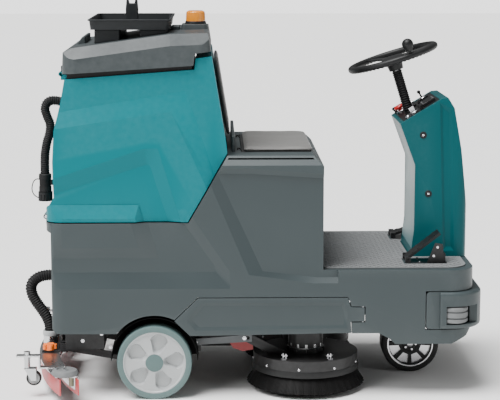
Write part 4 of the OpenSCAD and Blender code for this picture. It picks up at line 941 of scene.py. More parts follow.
SCREW_PLACES = [(FRONT_AXLE + 21, FLOOR_Z + 432), (FRONT_AXLE + 42, FLOOR_Z + 226)]
for place in SCREW_PLACES:
    cut(column, disc(place, 4.2, -COLUMN_HALF - 1, COLUMN_HALF + 1, "y", 20))
smooth(column, creases=GROOVE)
dress(column, "column_shell", COLUMN_TEAL, "machine", "column_teal", "column_cover")

# %% [markdown]
# ### Wheel wells and the pump box
# A matte liner closes each rear arch round the tyre, so that nobody looks into the battery bay. Its
# near-black colour is painted shade, the dark of the shaded arch.
# The solution pump hangs in a black box under the frame, ahead of the rear wheels. The box's dark mass is
# also painted shade, for the shaded space between the rear wheels and the brushes.

# %% Wheel wells and pump box
LINER_R, LINER_BACK = 148, -284


def well():
    def over_tyre(r, start, end):
        return arc(REAR_AXLE, ARCH_Z, r, start, end, 24)

    liner = prism(over_tyre(LINER_R, 0, 180) + over_tyre(LINER_R - 3, 180, 0), 12 - HALF_W, LINER_BACK)
    return joined(liner, prism(over_tyre(LINER_R + 1, 0, 180), LINER_BACK - 3, LINER_BACK + 0.5))


# The liners' near-black colour is painted shade inside the rear arches.
dress(smooth(both(well), 30), "wheel_wells", ARCH_PAINTED_SHADE, "machine", "black_plastic")
# Partly painted shade: this black box also darkens the shaded space under the frame between the wheels and
# the brushes.
pump_box = rounded(box((REAR_AXLE + 152, -96, 112), (REAR_AXLE + 318, 96, 226)), 8, 3)
for k in range(6):
    slot_x = REAR_AXLE + 170 + 24 * k
    cut(pump_box, *(box((slot_x, y, 128), (slot_x + 10, y + 8, 210)) for y in (-99, 91)))
dress(smooth(pump_box), "pump_box", BLACK_PLASTIC, "machine", "black_plastic")

# %% [markdown]
# ## Hard parts that keep their CAD form
# Brackets, levers and frames already have the right shape. A copy of each is welded, its flat faces are
# merged, and its sharp edges get a small round, because a real edge always catches a line of light.

# %% Softened hardware
def softened(node, width):
    """A node's own mesh with its sharp edges rounded by width, in millimetres."""
    bm = bmesh.new()
    bm.from_mesh(nodes[node].data)
    bmesh.ops.remove_doubles(bm, verts=bm.verts, dist=WELD)
    bmesh.ops.dissolve_limit(bm, angle_limit=radians(0.6), verts=bm.verts, edges=bm.edges)
    mesh = bpy.data.meshes.new(node)
    bm.to_mesh(mesh)
    bm.free()
    piece = new_piece(node + "_finished", mesh)
    if width:
        rounded(piece, width, 2, 38)
    return smooth(piece, 34)


HARDWARE = {
    "chassis_frame": (BLACK_STEEL, 1.5), "column_rear_panel": (PANEL_TEAL, 0.6),
    "dash_panel": (BLACK_PLASTIC, 1.0), "steering_gearbox": (GREY_STEEL, 1.5),
    "pedal_brackets": (BLACK_STEEL, 0.8), "deck_actuator": (GREY_STEEL, 1.0),
    "battery_pack": (BLACK_PLASTIC, 3.0), "solution_tank": (NATURAL, 2.0),
    "vacuum_motor": (BLACK_PLASTIC, 2.0), "hinge_pins": (ZINC, 0.5), "lid_gasket": (RUBBER, 0),
    "drain_cap": (BLACK_PLASTIC, 1.0), "seat_plate": (BLACK_PLASTIC, 1.5), "steering_shaft": (ZINC, 0.8),
    "key_switch": (ZINC, 0.5), "emergency_stop": (SIGNAL_RED, 1.0), "direction_lever": (BLACK_PLASTIC, 0.4),
    "accelerator_pedal": (BLACK_PLASTIC, 1.0), "brake_pedal": (BLACK_PLASTIC, 1.0),
    "drive_fork": (BLACK_STEEL, 1.5), "brush_motors": (BLACK_STEEL, 2.0), "deck_arms": (GREY_STEEL, 0.8),
    "squeegee_arms": (BLACK_STEEL, 0.8), "squeegee_carrier": (BLACK_STEEL, 0.8),
    "squeegee_body": (STAINLESS, 0.4), "squeegee_blades": (BLADE_RED, 0),
    "caster_fork_right": (STAINLESS, 0.4), "caster_fork_left": (STAINLESS, 0.4),
    "star_knob_right": (KNOB_ORANGE, 1.2), "star_knob_left": (KNOB_ORANGE, 1.2),
    "brush_deck": (BLACK_STEEL, 0.8)}
SLOT_OF = {s["node"]: s["material_slot"] for s in frame["record"]["subparts"]}
BODY_OF = {n: b for b, members in frame["record"]["behaviour"]["bodies"].items() for n in members}
for node, (material, width) in HARDWARE.items():
    dress(softened(node, width), node + "_finished", material, BODY_OF[node], SLOT_OF[node], node)

# %% [markdown]
# ## Repeats with Geometry Nodes
# Screws, tread bars, bristles and hose ribs all repeat. One kind of tree puts a small shape on a cloud of
# points, each turned by that point's own direction; another wraps a ribbed tube round a path.

# %% Scatter tool
def node_tree(name, inputs):
    group = bpy.data.node_groups.new(name, "GeometryNodeTree")
    group.interface.new_socket(name="Geometry", in_out="INPUT", socket_type="NodeSocketGeometry")
    for label, kind, value in inputs:
        made = group.interface.new_socket(name=label, in_out="INPUT", socket_type="NodeSocket" + kind)
        if value is not None:
            made.default_value = value
    group.interface.new_socket(name="Geometry", in_out="OUTPUT", socket_type="NodeSocketGeometry")
    return group, group.nodes.new


def identifier(group, label):
    return next(i.identifier for i in group.interface.items_tree if i.name == label and i.in_out == "INPUT")


def scatter_tree():
    """A shape on each point, its Z along the point's direction, its size varied by a seed."""
    group, add = node_tree("scatter", [("Shape", "Object", None), ("Size Spread", "Float", 0.0),
                                       ("Seed", "Int", 3), ("Finish", "Material", None)])
    start, end = add("NodeGroupInput"), add("NodeGroupOutput")
    shape, place = add("GeometryNodeObjectInfo"), add("GeometryNodeInstanceOnPoints")
    aim, side = (add("GeometryNodeInputNamedAttribute") for _ in range(2))
    align, spin = (add("FunctionNodeAlignRotationToVector") for _ in range(2))
    for node, label in ((aim, "aim"), (side, "side")):
        node.data_type = "FLOAT_VECTOR"
        node.inputs["Name"].default_value = label
    align.axis, spin.axis = "Z", "X"
    spin.pivot_axis = "Z"
    size, low, high = add("FunctionNodeRandomValue"), add("ShaderNodeMath"), add("ShaderNodeMath")
    low.operation, high.operation = "SUBTRACT", "ADD"
    low.inputs[0].default_value = high.inputs[0].default_value = 1.0
    realize, paint = add("GeometryNodeRealizeInstances"), add("GeometryNodeSetMaterial")
    wire(group, (start, "Size Spread", low, 1), (start, "Size Spread", high, 1), (low, 0, size, 2),
         (high, 0, size, 3), (start, "Seed", size, "Seed"), (start, "Shape", shape, "Object"),
         (start, "Geometry", place, "Points"), (shape, "Geometry", place, "Instance"),
         (aim, "Attribute", align, "Vector"), (align, "Rotation", spin, "Rotation"),
         (side, "Attribute", spin, "Vector"), (spin, "Rotation", place, "Rotation"),
         (size, 1, place, "Scale"), (place, "Instances", realize, "Geometry"),
         (realize, "Geometry", paint, "Geometry"), (start, "Finish", paint, "Material"),
         (paint, "Geometry", end, "Geometry"))
    return group


SCATTER = scatter_tree()


def scattered(shape, places, material, spread=0.0, seed=3):
    """places holds (point, aim, side) in millimetres; the shape stands on each point along its aim."""
    mesh = bpy.data.meshes.new("places")
    mesh.from_pydata([Vector(p) * MM for p, _, _ in places], [], [])
    for label, index in (("aim", 1), ("side", 2)):
        mesh.attributes.new(label, "FLOAT_VECTOR", "POINT").data.foreach_set(
            "vector", [c for place in places for c in Vector(place[index]).normalized()])
    piece = new_piece("scattered", mesh)
    step = piece.modifiers.new("scatter", "NODES")
    step.node_group = SCATTER
    for label, value in (("Shape", shape), ("Size Spread", spread), ("Seed", seed), ("Finish", material)):
        step[identifier(SCATTER, label)] = value
    finished(piece)
    discard(shape)
    return piece


def screw_head(r, h):
    """A button head with a hexagon socket."""
    head = turned([(0, 0), (r, 0), (r, h * 0.35), (r * 0.86, h * 0.72), (r * 0.6, h), (r * 0.42, h),
                   (r * 0.36, h * 0.3), (0, h * 0.3)], 12)
    return smooth(head, 40)


def hex_nut(r, h):
    """A nut with the end of its bolt."""
    return joined(disc((0, 0), r, 0, h * 0.7, "z", 6), disc((0, 0), r * 0.62, h * 0.7, h, "z", 10, r * 0.5))


print("scatter tree", len(SCATTER.nodes), "nodes")

# %% [markdown]
# ### Screws and nuts
# Bright screws hold the hood rings, the column cover and the brackets. They are one piece for each body
# Each group of them is one piece, hung on the body that it is fastened to.

# %% Screws and nuts
BRUSH_X, BRUSH_Y = SEAT_FRONT - 50, 207
HOOD_R = 182
hood_screws = []
for side in (-1, 1):
    for angle in range(20, 380, 40):
        out = Vector((cos(radians(angle)), sin(radians(angle)), 0))
        if abs(BRUSH_Y + HOOD_R * side * out.y) < 30:
            continue
        hood_screws.append((Vector((BRUSH_X, side * BRUSH_Y, 100)) + out * (HOOD_R - 0.4), out, (0, 0, 1)))
ring_screws = scattered(screw_head(5, 3.4), hood_screws, ZINC)
dress(ring_screws, "hood_screws", ZINC, "brush_deck", "zinc")


def on_column(out):
    """The cover screws' places, standing out from the column's sides."""
    return [((x, side * (COLUMN_HALF + out), z), (0, side, 0), (1, 0, 0))
            for side in (-1, 1) for x, z in SCREW_PLACES]


washers = scattered(smooth(turned([(4, 0), (11.6, 0), (12, 0.8), (11, 2.1), (5, 2.3), (4, 1.6)], 40), 50),
                    on_column(0.3), BLACK_PLASTIC)
dress(washers, "cover_screw_rings", BLACK_PLASTIC, "machine", "black_plastic", "cover_screws")
dress(scattered(screw_head(4.6, 1.9), on_column(1.0), ZINC), "cover_screw_heads", ZINC, "machine", "zinc")
PEDAL_Y = HALF_W - 146
pedal_bolts = [((FRONT_AXLE + dx, -PEDAL_Y - 42.8, FLOOR_Z + dz), (0, -1, 0), (1, 0, 0))
               for dx, dz in ((47, 30), (60, 60))]
pedal_bolts += [((FRONT_AXLE + dx, side * PEDAL_Y + edge, FLOOR_Z + 5), (0, 0, 1), (1, 0, 0))
                for side in (-1, 1) for dx in (0, 42) for edge in (-33.5, 33.5)]
dress(scattered(hex_nut(4.6, 5), pedal_bolts, ZINC), "pedal_bolts", ZINC, "machine", "zinc")
frame_bolts = [((REAR_AXLE - back, side * 276, z), (0, side, 0), (1, 0, 0)) for side in (-1, 1)
               for back, z in ((155, 157), (185, 205), (280, 214), (250, 180))]
dress(scattered(hex_nut(7, 6), frame_bolts, ZINC), "frame_nuts", ZINC, "machine", "zinc")
arm_bolts = [((x, side * 275, z), (0, side, 0), (1, 0, 0)) for side in (-1, 1)
             for x, z in ((REAR_AXLE + 139, 171), (BRUSH_X - 215, 186))]
dress(scattered(hex_nut(7.5, 5), arm_bolts, ZINC), "linkage_nuts", ZINC, "deck_arms", "zinc")

# %% [markdown]
# ### Platform mat
# A moulded rubber mat with short raised bars set in two crossing directions. The bars are scattered on a
# grid that leaves out the column's foot and the pedals.

# %% Platform mat
mat_low, mat_high = corners("foot_mat")
mat = softened("foot_mat", 0.6)
bar = rounded(box((-9.5, -2.5, -1.2), (9.5, 2.5, 2.0)), 1.0, 2, 40)
tread = []
PITCH = 15.5
rows = int((mat_high.x - mat_low.x - 16) / PITCH)
columns = int((mat_high.y - mat_low.y - 20) / PITCH)


def mat_is_clear(x, y):
    """True where the mat has room for a bar."""
    in_column = COLUMN_X - 14 < x and abs(y) < COLUMN_HALF + 14
    in_pedals = FRONT_AXLE - 66 < x < FRONT_AXLE + 106 and HALF_W - 206 < abs(y) < HALF_W - 86
    from_corner = Vector((max(0, x - (mat_high.x - 74)), max(0, abs(y) - (mat_high.y - 74)))).length
    return not in_column and not in_pedals and from_corner < 62


for i in range(rows):
    for j in range(columns):
        x = mat_low.x + 14 + PITCH * i
        y = mat_low.y + 14 + PITCH * j
        if mat_is_clear(x, y) and x < mat_high.x - 10 and y < mat_high.y - 10:
            lean = 1 if (i + j) % 2 else -1
            tread.append(((x, y, mat_high.z - 0.2), (0, 0, 1),
                          (cos(radians(45)), lean * sin(radians(45)), 0)))
joined(mat, smooth(scattered(bar, tread, GREY_RUBBER), 40))
dress(mat, "platform_mat", GREY_RUBBER, "machine", "mat_rubber", "foot_mat")

# %% [markdown]
# ### Hoses
# Both hoses are held at both ends, so neither is a free cord. A corrugated hose is one tube whose radius
# swings along its length; the tree resamples the path and sets each ring's radius.

# %% Hose tree
def hose_tree():
    """A tube round a path whose radius swings as a sine of the distance along it."""
    group, add = node_tree("ribbed_hose", [("Radius", "Float", 0.02), ("Rib", "Float", 0.0016),
                                           ("Pitch", "Float", 0.009), ("Sides", "Int", 24),
                                           ("Finish", "Material", None)])
    start, end = add("NodeGroupInput"), add("NodeGroupOutput")
    resample, along = add("GeometryNodeResampleCurve"), add("GeometryNodeSplineParameter")
    resample.mode = "LENGTH"
    step, turn, share, wave, swing = (add("ShaderNodeMath") for _ in range(5))
    step.operation, turn.operation, wave.operation = "DIVIDE", "DIVIDE", "SINE"
    step.inputs[1].default_value = 8.0
    wire(group, (start, "Pitch", step, 0), (start, "Geometry", resample, "Curve"),
         (step, 0, resample, "Length"), (along, "Length", turn, 0), (start, "Pitch", turn, 1))
    share.operation = "MULTIPLY"
    share.inputs[1].default_value = tau
    wire(group, (turn, 0, share, 0), (share, 0, wave, 0))
    swing.operation = "MULTIPLY_ADD"
    wire(group, (wave, 0, swing, 0), (start, "Rib", swing, 1), (start, "Radius", swing, 2))
    ring, skin = add("GeometryNodeCurvePrimitiveCircle"), add("GeometryNodeCurveToMesh")
    ring.inputs["Radius"].default_value = 1.0
    wire(group, (start, "Sides", ring, "Resolution"))
    skin.inputs["Fill Caps"].default_value = True
    paint, shade = add("GeometryNodeSetMaterial"), add("GeometryNodeRealizeInstances")
    wire(group, (resample, "Curve", skin, "Curve"), (ring, "Curve", skin, "Profile Curve"),
         (swing, 0, skin, "Scale"), (skin, "Mesh", shade, "Geometry"),
         (shade, "Geometry", paint, "Geometry"), (start, "Finish", paint, "Material"),
         (paint, "Geometry", end, "Geometry"))
    return group


HOSE = hose_tree()


def hose(points, radius, rib, pitch, material, sides=24):
    """A tube along a smooth curve through the points, in millimetres."""
    data = bpy.data.curves.new("path", "CURVE")
    data.dimensions = "3D"
    spline = data.splines.new("BEZIER")
    spline.bezier_points.add(len(points) - 1)
    for knot, point in zip(spline.bezier_points, points):
        knot.co = Vector(point) * MM
        knot.handle_left_type = knot.handle_right_type = "AUTO"
    data.resolution_u = 16
    path = new_piece("hose", data)
    step = path.modifiers.new("ribs", "NODES")
    step.node_group = HOSE
    for label, value in (("Radius", radius * MM), ("Rib", rib * MM), ("Pitch", pitch * MM), ("Sides", sides),
                         ("Finish", material)):
        step[identifier(HOSE, label)] = value
    path.data.update_tag()
    bpy.context.view_layer.update()
    mesh = bpy.data.meshes.new_from_object(path.evaluated_get(bpy.context.evaluated_depsgraph_get()))
    bpy.data.objects.remove(path)
    return smooth(faced_out(new_piece("hose", mesh)), 60)


SUCTION_ROUTE = [
    (-650, 0, 352), (-692, 0, 354), (-727, 0, 353), (-758, 0, 342), (-777, 0, 318), (-776, 0, 288),
    (-762, 0, 258), (-742, 0, 228), (-724, 0, 198), (-714, 0, 168), (-712, 0, 140), (-712, 0, 118)]
suction = hose(SUCTION_ROUTE, 19.4, 1.5, 8.5, RUBBER)
dress(suction, "suction_hose_ribbed", RUBBER, None, "rubber_black", "suction_hose")
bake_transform(suction)
DRAIN_ROUTE = [
    (-640, -90, 985), (-668, -90, 992), (-694, -90, 988), (-706, -90, 966), (-700, -90, 938),
    (-690, -90, 910), (-692, -90, 880), (-702, -90, 846), (-709, -90, 808), (-711, -90, 768),
    (-711, -90, 735)]
drain = hose(DRAIN_ROUTE, 15.6, 1.3, 6.5, RUBBER)
cuff = smooth(at(turned([(0, 650), (18, 650), (18, 672), (22, 673), (22, 690), (20.5, 692), (20.5, 716),
                         (22, 718), (22, 733), (19, 736), (0, 736)], 40), -711, -90, 0), 40)
clip = rounded(box((-693, -98, 696), (-656.6, -82, 714)), 1, 2)
strap = hose([(-722, -90, 712), (-742, -92, 716), (-756, -94, 694), (-752, -94, 664), (-736, -92, 650)], 1.8,
             0, 4, BLACK_PLASTIC, 8)
joined(drain, cuff, smooth(clip), strap)
dress(drain, "drain_hose_ribbed", RUBBER, "recovery_tank", "rubber_black", "drain_hose")
folds = [p for i in range(18) for p in ((15.2, 16 + 8 * i), (18, 19 + 8 * i), (18, 21 + 8 * i))]
bellows = turned([(12, -8), (15.5, -8), (15.5, 14), *folds, (15.5, 162), (12, 162)], 40)
STEER_BASE, STEER_TILT = (FRONT_AXLE - 10, 933), radians(17.3)
IN_STEER = (Matrix.Translation(Vector((STEER_BASE[0], 0, STEER_BASE[1])) * MM)
            @ Matrix.Rotation(-STEER_TILT, 4, "Y"))
dress(smooth(moved(bellows, IN_STEER), 60), "column_bellows", RUBBER, "machine", "rubber_black",
      "steering_bellows")

# %% [markdown]
# ## Wheels
# The rear wheels are pressed pale hubs in a grey-green tyre: five sunk petals, a raised rim and a cap.
# The front wheel is a dark tyre on a windowed hub with a bright rim.

# %% Rear wheels
def petal_cutter(angle):
    def outline(grow):
        inner, outer = 40 - grow, 97 + grow
        return arc(inner + 13, 0, 13 + grow, 235, 125, 6) + arc(outer - 29, 0, 27 + grow, 84, -84, 12)
    return moved(prism(outline(0), 13, 36, "z", outline(6)), Matrix.Rotation(radians(angle), 4, "Z"))


REAR_R, REAR_W = 127, 68
for side, name in SIDES:
    hub = turned([(0, -30), (107, -30), (107, 31), (103, 31.5), (100, 28), (96, 26.5), (44, 29), (36, 32.5),
                  (31, 33), (31, 32), (0, 32)], 96)
    for k in range(5):
        cut(hub, petal_cutter(72 * k + 78))
    rounded(hub, 1.2, 2, 25)
    smooth(hub, 36)
    cap = smooth(turned([(0, 31), (30, 31), (30, 33), (28.5, 33.8), (0, 34)], 64), 40)
    cap.data.materials.append(TYRE_GREY)
    tyre = turned([(106.5, -31), (106.5, 31.5), (110, 33.4), (121, 34), (125.5, 32), (127, 28), (127, -28),
                   (125.5, -32), (121, -34), (108, -33)], 128)
    tyre = smooth(tyre, 30)
    turn = Matrix.Rotation(radians(90 if side < 0 else -90), 4, "X")
    y = side * (HALF_W + 4 - REAR_W / 2)
    for part in (hub, cap, tyre):
        at(part, REAR_AXLE, y, REAR_R, turn)
    body_name = "rear_wheel_" + name
    dress(tyre, body_name + "_tyre", TYRE_GREY, body_name, "tyre_grey", body_name)
    dress(hub, body_name + "_hub", HUB_GREY, body_name, "tyre_grey")
    dress(cap, body_name + "_cap", TYRE_GREY, body_name, "tyre_grey")

# %% [markdown]
# ### Front wheel
# The driven wheel is a dark solid tyre on a black hub with eight windows and a bright ring round it.
# Spokes could be built one by one, but each would need its own blend at both ends. A turned hub with
# one tapered window cut eight times gives those blends for nothing.

# %% Front wheel
FRONT_R = 103
front_tyre = smooth(turned([(82, -43), (82, 43), (86, 45), (95, 45), (100, 42.5), (103, 37), (103, -37),
                            (100, -42.5), (95, -45), (86, -45)], 112), 30)
rim = smooth(turned([(77, 30), (77, 42), (79, 43.6), (82.4, 43.8), (82.4, 30)], 96), 30)
spokes = turned([(13, -39), (78, -39), (80, -30), (80, 38), (30, 38), (26, 41), (13, 41)], 96)
for k in range(8):
    window = prism([(40, -10), (72, -22), (75, 0), (72, 22), (40, 10)], 24, 60, "z",
                   [(38, -11), (73, -23), (77, 0), (73, 23), (38, 11)])
    cut(spokes, moved(window, Matrix.Rotation(tau * (k + 0.5) / 8, 4, "Z")))
rounded(spokes, 1.2, 2, 30)
smooth(spokes, 36)
bolts = scattered(hex_nut(4, 4), [((20 * cos(tau * k / 5), 20 * sin(tau * k / 5), 41), (0, 0, 1), (1, 0, 0))
                                  for k in range(5)], ZINC)
nose = smooth(turned([(0, 38), (11, 38), (11, 43), (8, 44.6), (0, 44.8)], 32), 40)
joined(rim, bolts, nose, smooth(turned([(0, 20), (76, 20), (76, 25), (0, 25)], 64), 30))
for part in (front_tyre, rim, spokes):
    at(part, FRONT_AXLE, 0, FRONT_R, ACROSS)
dress(front_tyre, "front_tyre", TYRE_DARK, "front_wheel", "tyre_dark", "front_wheel")
dress(rim, "front_rim_ring", ZINC, "front_wheel", "zinc")
dress(spokes, "front_hub", BLACK_PLASTIC, "front_wheel", "black_plastic")

# %% [markdown]
# ### Casters and guard rollers
# Two small casters carry the squeegee, and a disc at each of its ends rolls along a wall. All are round,
# so a profile of a few points is enough. Each stands where its own node's box is.

# %% Casters and rollers
SQUEEGEE_X = BODY_REAR - 44
for side, name in SIDES:
    low, high = corners("caster_wheel_" + name)
    middle = (low + high) / 2
    tyre = smooth(turned([(20, -9), (20, 9), (22, 10), (24.5, 9), (26, 6), (26, -6), (24.5, -9), (22, -10)],
                         56), 30)
    core = turned([(4.1, -8), (8, -8), (8, -5), (18, -5), (20.2, -8), (20.2, 8), (18, 5), (8, 5), (8, 8),
                   (4.1, 8)], 40)
    for part in (tyre, smooth(core, 40)):
        at(part, *middle, ACROSS)
    dress(tyre, "caster_tyre_" + name, TYRE_DARK, "caster_wheel_" + name, "tyre_dark", "caster_wheel_" + name)
    dress(core, "caster_hub_" + name, HUB_GREY, "caster_wheel_" + name, "tyre_dark")
    low, high = corners("guard_roller_" + name)
    middle = (low + high) / 2
    guard = smooth(turned([(5.1, 0), (40, 0), (44, 4), (44, 12), (40, 19), (31, 22), (28, 22), (26, 18),
                           (12, 17), (9, 20), (5.1, 20)], 72), 34)
    at(guard, middle.x, middle.y, low.z)
    dress(guard, "guard_disc_" + name, GREY_RUBBER, "guard_roller_" + name, "mat_rubber",
          "guard_roller_" + name)

# %% [markdown]
# ## Brushes
# Each disc brush is a block with hundreds of black tufts that lean outwards. A tuft is a thin tapered
# bundle with six sides; rings of them overlap, so that no gap shows between. A ring is given by the
# radius of its tufts' tops, that of their feet, and their number.

# %% Brushes
LIFT = 18
TUFT_RINGS = ((168, 201, 260), (162, 194, 220), (152, 182, 170), (136, 163, 130))
BLOCK_PROFILE = [(0, 20), (122, 20), (150, 40), (160, 62), (168, 62), (168, 71), (160, 79), (22, 79),
                 (22, 100), (0, 100)]


def tuft():
    return smooth(turned([(0, 0), (3.0, 0), (3.4, 20), (2.8, 62), (0, 63)], 6), 50)


for side, name in SIDES:
    places = []
    for ring, (top_r, foot_r, count) in enumerate(TUFT_RINGS):
        for k in range(count):
            a = tau * (k + 0.5 * (ring % 2)) / count
            out = Vector((cos(a), sin(a), 0))
            sway = 3.0 * sin(7.3 * k + ring)
            sideways = Vector((-sin(a), cos(a), 0)) * sway * 0.35
            foot = out * (foot_r + 0.9 * sway) + sideways + Vector((0, 0, 0.5 + 0.4 * abs(sway)))
            top = out * top_r + Vector((0, 0, 55))
            origin = Vector((BRUSH_X, side * BRUSH_Y, LIFT))
            places.append((origin + foot, top - foot, (-sin(a), cos(a), 0)))
    bristles = scattered(tuft(), places, BRISTLE, 0.05, 11)
    heart = smooth(at(turned(BLOCK_PROFILE, 64), BRUSH_X, side * BRUSH_Y, LIFT), 34)
    joined(bristles, heart)
    dress(bristles, "bristles_" + name, BRISTLE, "brush_" + name, "bristle_black", "brush_" + name)


def hood_band(side):
    band_profile = [(182.6, 70), (185, 71), (186, 82), (183, 92), (182.6, 92)]
    return at(turned(band_profile, 96), BRUSH_X, side * BRUSH_Y, 0)


band = merged(hood_band(side) for side in (-1, 1))
cut(band, box((BRUSH_X - 60, -30, 60), (BRUSH_X + 60, 30, 100)))
dress(smooth(band, 40), "hood_bands", BLACK_PLASTIC, "brush_deck", "black_steel")

# %% [markdown]
# ### Lines and springs behind the rear axle
# Thin black water lines and two return springs fill the space between the frame and the squeegee arms.
# A spring is a steel wire wound round a rod, so its path is a helix and a loop works out its points.

# %% Lines and springs
LINE_ROUTES = {7: [(-20, 205, 238), (-70, 228, 205), (-120, 236, 190), (-170, 226, 204), (-205, 214, 236)],
               5: [(-150, 196, 240), (-190, 205, 200), (-240, 208, 186), (-285, 200, 204), (-300, 190, 240)]}
lines = merged(hose([(REAR_AXLE - 60 + x, side * y, z) for x, y, z in route], r, 0, 6, RUBBER, 12)
               for side in (-1, 1) for r, route in LINE_ROUTES.items())
dress(lines, "water_lines", RUBBER, "machine", "rubber_black")
SPRING_Y, SPRING_Z, COIL_R = 156, 205, 8
STEPS_PER_TURN = 10


def spring(side):
    """A wire helix with its rod."""
    turns = [(k, tau * k / STEPS_PER_TURN) for k in range(141)]
    helix = [(REAR_AXLE - 300 + 0.9 * k, side * (SPRING_Y + COIL_R * cos(a)), SPRING_Z + COIL_R * sin(a))
             for k, a in turns]
    rod = disc((side * SPRING_Y, SPRING_Z), 3.2, REAR_AXLE - 312, REAR_AXLE - 164, "x", 12)
    return joined(hose(helix, 1.5, 0, 3, ZINC, 8), rod)


springs = merged(spring(side) for side in (-1, 1))
dress(smooth(springs, 50), "return_springs", ZINC, "machine", "zinc")

# %% [markdown]
# ### Splash flaps and the clips on the hoods
# A red rubber flap hangs behind each brush, and over-centre clips hold the skirts to the hoods.

# %% Flaps and clips
flap = both(lambda: prism([(REAR_AXLE + 251, 172), (REAR_AXLE + 335, 172), (REAR_AXLE + 338, 140),
                           (REAR_AXLE + 300, 134), (REAR_AXLE + 268, 146)], -254, -251))
dress(smooth(rounded(flap, 0.5, 2)), "splash_flaps", FLAP_RED, "brush_deck", "blade_red")
CLIP_ANGLES = (-120, -62)


def hood_clip(side, angle):
    """A base plate, two cheeks, their pin and the lever of one clip."""
    out = Vector((cos(radians(angle)), -side * sin(radians(angle)), 0))
    spot = Vector((BRUSH_X, side * BRUSH_Y, 0)) + out * 158
    clip = joined(rounded(box((-10, -9, 128), (10, 9, 131)), 0.6, 2), box((-3, -7, 131), (0, -4, 147)),
                  box((-3, 4, 131), (0, 7, 147)), disc((-1.5, 141), 2.2, -12, 12, "y", 12),
                  box((-14, -3, 138), (6, 3, 141)))
    return moved(clip, Matrix.Translation(spot * MM) @ Matrix.Rotation(atan2(out.y, out.x), 4, "Z"))


clips = merged(hood_clip(side, angle) for side in (-1, 1) for angle in CLIP_ANGLES)
dress(smooth(clips, 30), "hood_clips", ZINC, "brush_deck", "zinc")
FLANGE = [(45, 128), (64, 128), (66, 132), (66, 142), (61, 146), (61, 158), (45, 158)]
flange = both(lambda: smooth(at(turned(FLANGE, 12), BRUSH_X, -BRUSH_Y, 0), 20))
dress(flange, "motor_flanges", STAINLESS, "brush_deck", "stainless")

# %% [markdown]
# ## Seat and backrest
# Both are padded vinyl. The cushion is blown up a little with cloth pressure from a slightly smaller slab,
# with a limit on how far any point may move, so that it crowns but keeps its place.

# %% Padded tool
def padded_slab(slab, grow, voxel=5, pressure=4.0, last_frame=20):
    """Blows a slab up like a cushion; grow is the furthest a point may move, in millimetres."""
    step = slab.modifiers.new("even", "REMESH")
    step.mode = "VOXEL"
    step.voxel_size = voxel * MM
    finished(slab)
    start = [v.co.copy() for v in slab.data.vertices]
    cloth = slab.modifiers.new("air", "CLOTH")
    cloth.settings.use_pressure = True
    cloth.settings.uniform_pressure_force = pressure
    cloth.settings.effector_weights.gravity = 0
    cloth.settings.quality = 4
    cloth.point_cache.frame_end = last_frame
    scene = bpy.context.scene
    for frame_now in range(1, last_frame + 1):
        scene.frame_set(frame_now)
    finished(slab)
    scene.frame_set(1)
    for vertex, home in zip(slab.data.vertices, start):
        away = vertex.co - home
        if away.length > grow * MM:
            vertex.co = home + away.normalized() * grow * MM
    return slab


def keep_inside(piece, low, high):
    """Holds every point of a padded piece between two corners, in millimetres."""
    for vertex in piece.data.vertices:
        vertex.co = Vector(max(l * MM, min(h * MM, c)) for c, l, h in zip(vertex.co, low, high))
    return piece


def subdivided(piece):
    step = piece.modifiers.new("finer", "SUBSURF")
    step.levels = step.render_levels = 1
    return finished(piece)


# %% [markdown]
# ### Seat cushion
# The cushion starts as a slab with round corners. When the cloth has swelled it, its top is raised to a
# low crown and a narrow band near its border is pressed in, which is where the cover is sewn.

# %% Seat cushion
seat_low, seat_high = corners("seat_cushion")
seat = prism(round_rect(seat_low.x + 4, seat_high.x - 4, seat_low.y + 4, seat_high.y - 4, (10, 30, 30, 10)),
             seat_low.z + 1.5, seat_high.z - 2, "z")
padded_slab(seat, 5)
middle_x, half_x = (seat_low.x + seat_high.x) / 2 * MM, (seat_high.x - seat_low.x) / 2 * MM
for vertex in seat.data.vertices:
    u, v = (vertex.co.x - middle_x) / half_x, vertex.co.y / (seat_high.y * MM)
    edge_gap = min(1 - abs(u), (1 - abs(v)) * 2)
    if vertex.co.z > (seat_low.z + 8) * MM:
        vertex.co.z += 0.002 * max(0.0, 1 - u * u) * max(0.0, 1 - v * v)
        if 0.07 < edge_gap < 0.11:
            vertex.co.z -= 0.0022
keep_inside(seat, seat_low + Vector((0.5, 0.5, 0.2)), seat_high + Vector((-0.5, -0.5, 3)))
subdivided(seat)
smooth(seat, 80)
VINYL = finish("seat_vinyl", linear(96, 95, 93), rough=0.55, grain=420, bump=0.45, dusty=0.0, vary=0.2,
               sheen=0.15)
dress(seat, "seat_pad", VINYL, "seat", "seat_vinyl", "seat_cushion")

# %% [markdown]
# ### Backrest
# The backrest is a thin pad that leans with the front of the tank. It is made lying flat, where the seam
# round its border and the two channels down its length are easy to place, and is then leaned back.

# %% Backrest
rest_z = (SEAT_Z + 43, TANK_TOP + 74)
rest_x = (TOE_TOP + 0.5, TOE_LOW + 84.5)
lean = atan2(rest_x[1] - rest_x[0], rest_z[1] - rest_z[0])
length = hypot(rest_x[1] - rest_x[0], rest_z[1] - rest_z[0])
back = prism(round_rect(4, length - 6, -194, 194, 26), 2.2, 10, "z")
padded_slab(back, 4)
for vertex in back.data.vertices:
    u, v = vertex.co.x / MM / length * 2 - 1, vertex.co.y / MM / 197
    gap = min(1 - abs(u), (1 - abs(v)) * 1.2)
    if vertex.co.z > 0.007 and (0.1 < gap < 0.13 or (abs(abs(v) - 0.33) < 0.012 and gap > 0.12)):
        vertex.co.z -= 0.0016
    vertex.co.z = min(vertex.co.z, 0.0125)
ALONG_REST = Matrix(((sin(lean), 0, cos(lean), rest_x[0] * MM), (0, 1, 0, 0),
                     (cos(lean), 0, -sin(lean), rest_z[0] * MM), (0, 0, 0, 1)))
faced_out(moved(back, ALONG_REST))
subdivided(back)
smooth(back, 80)
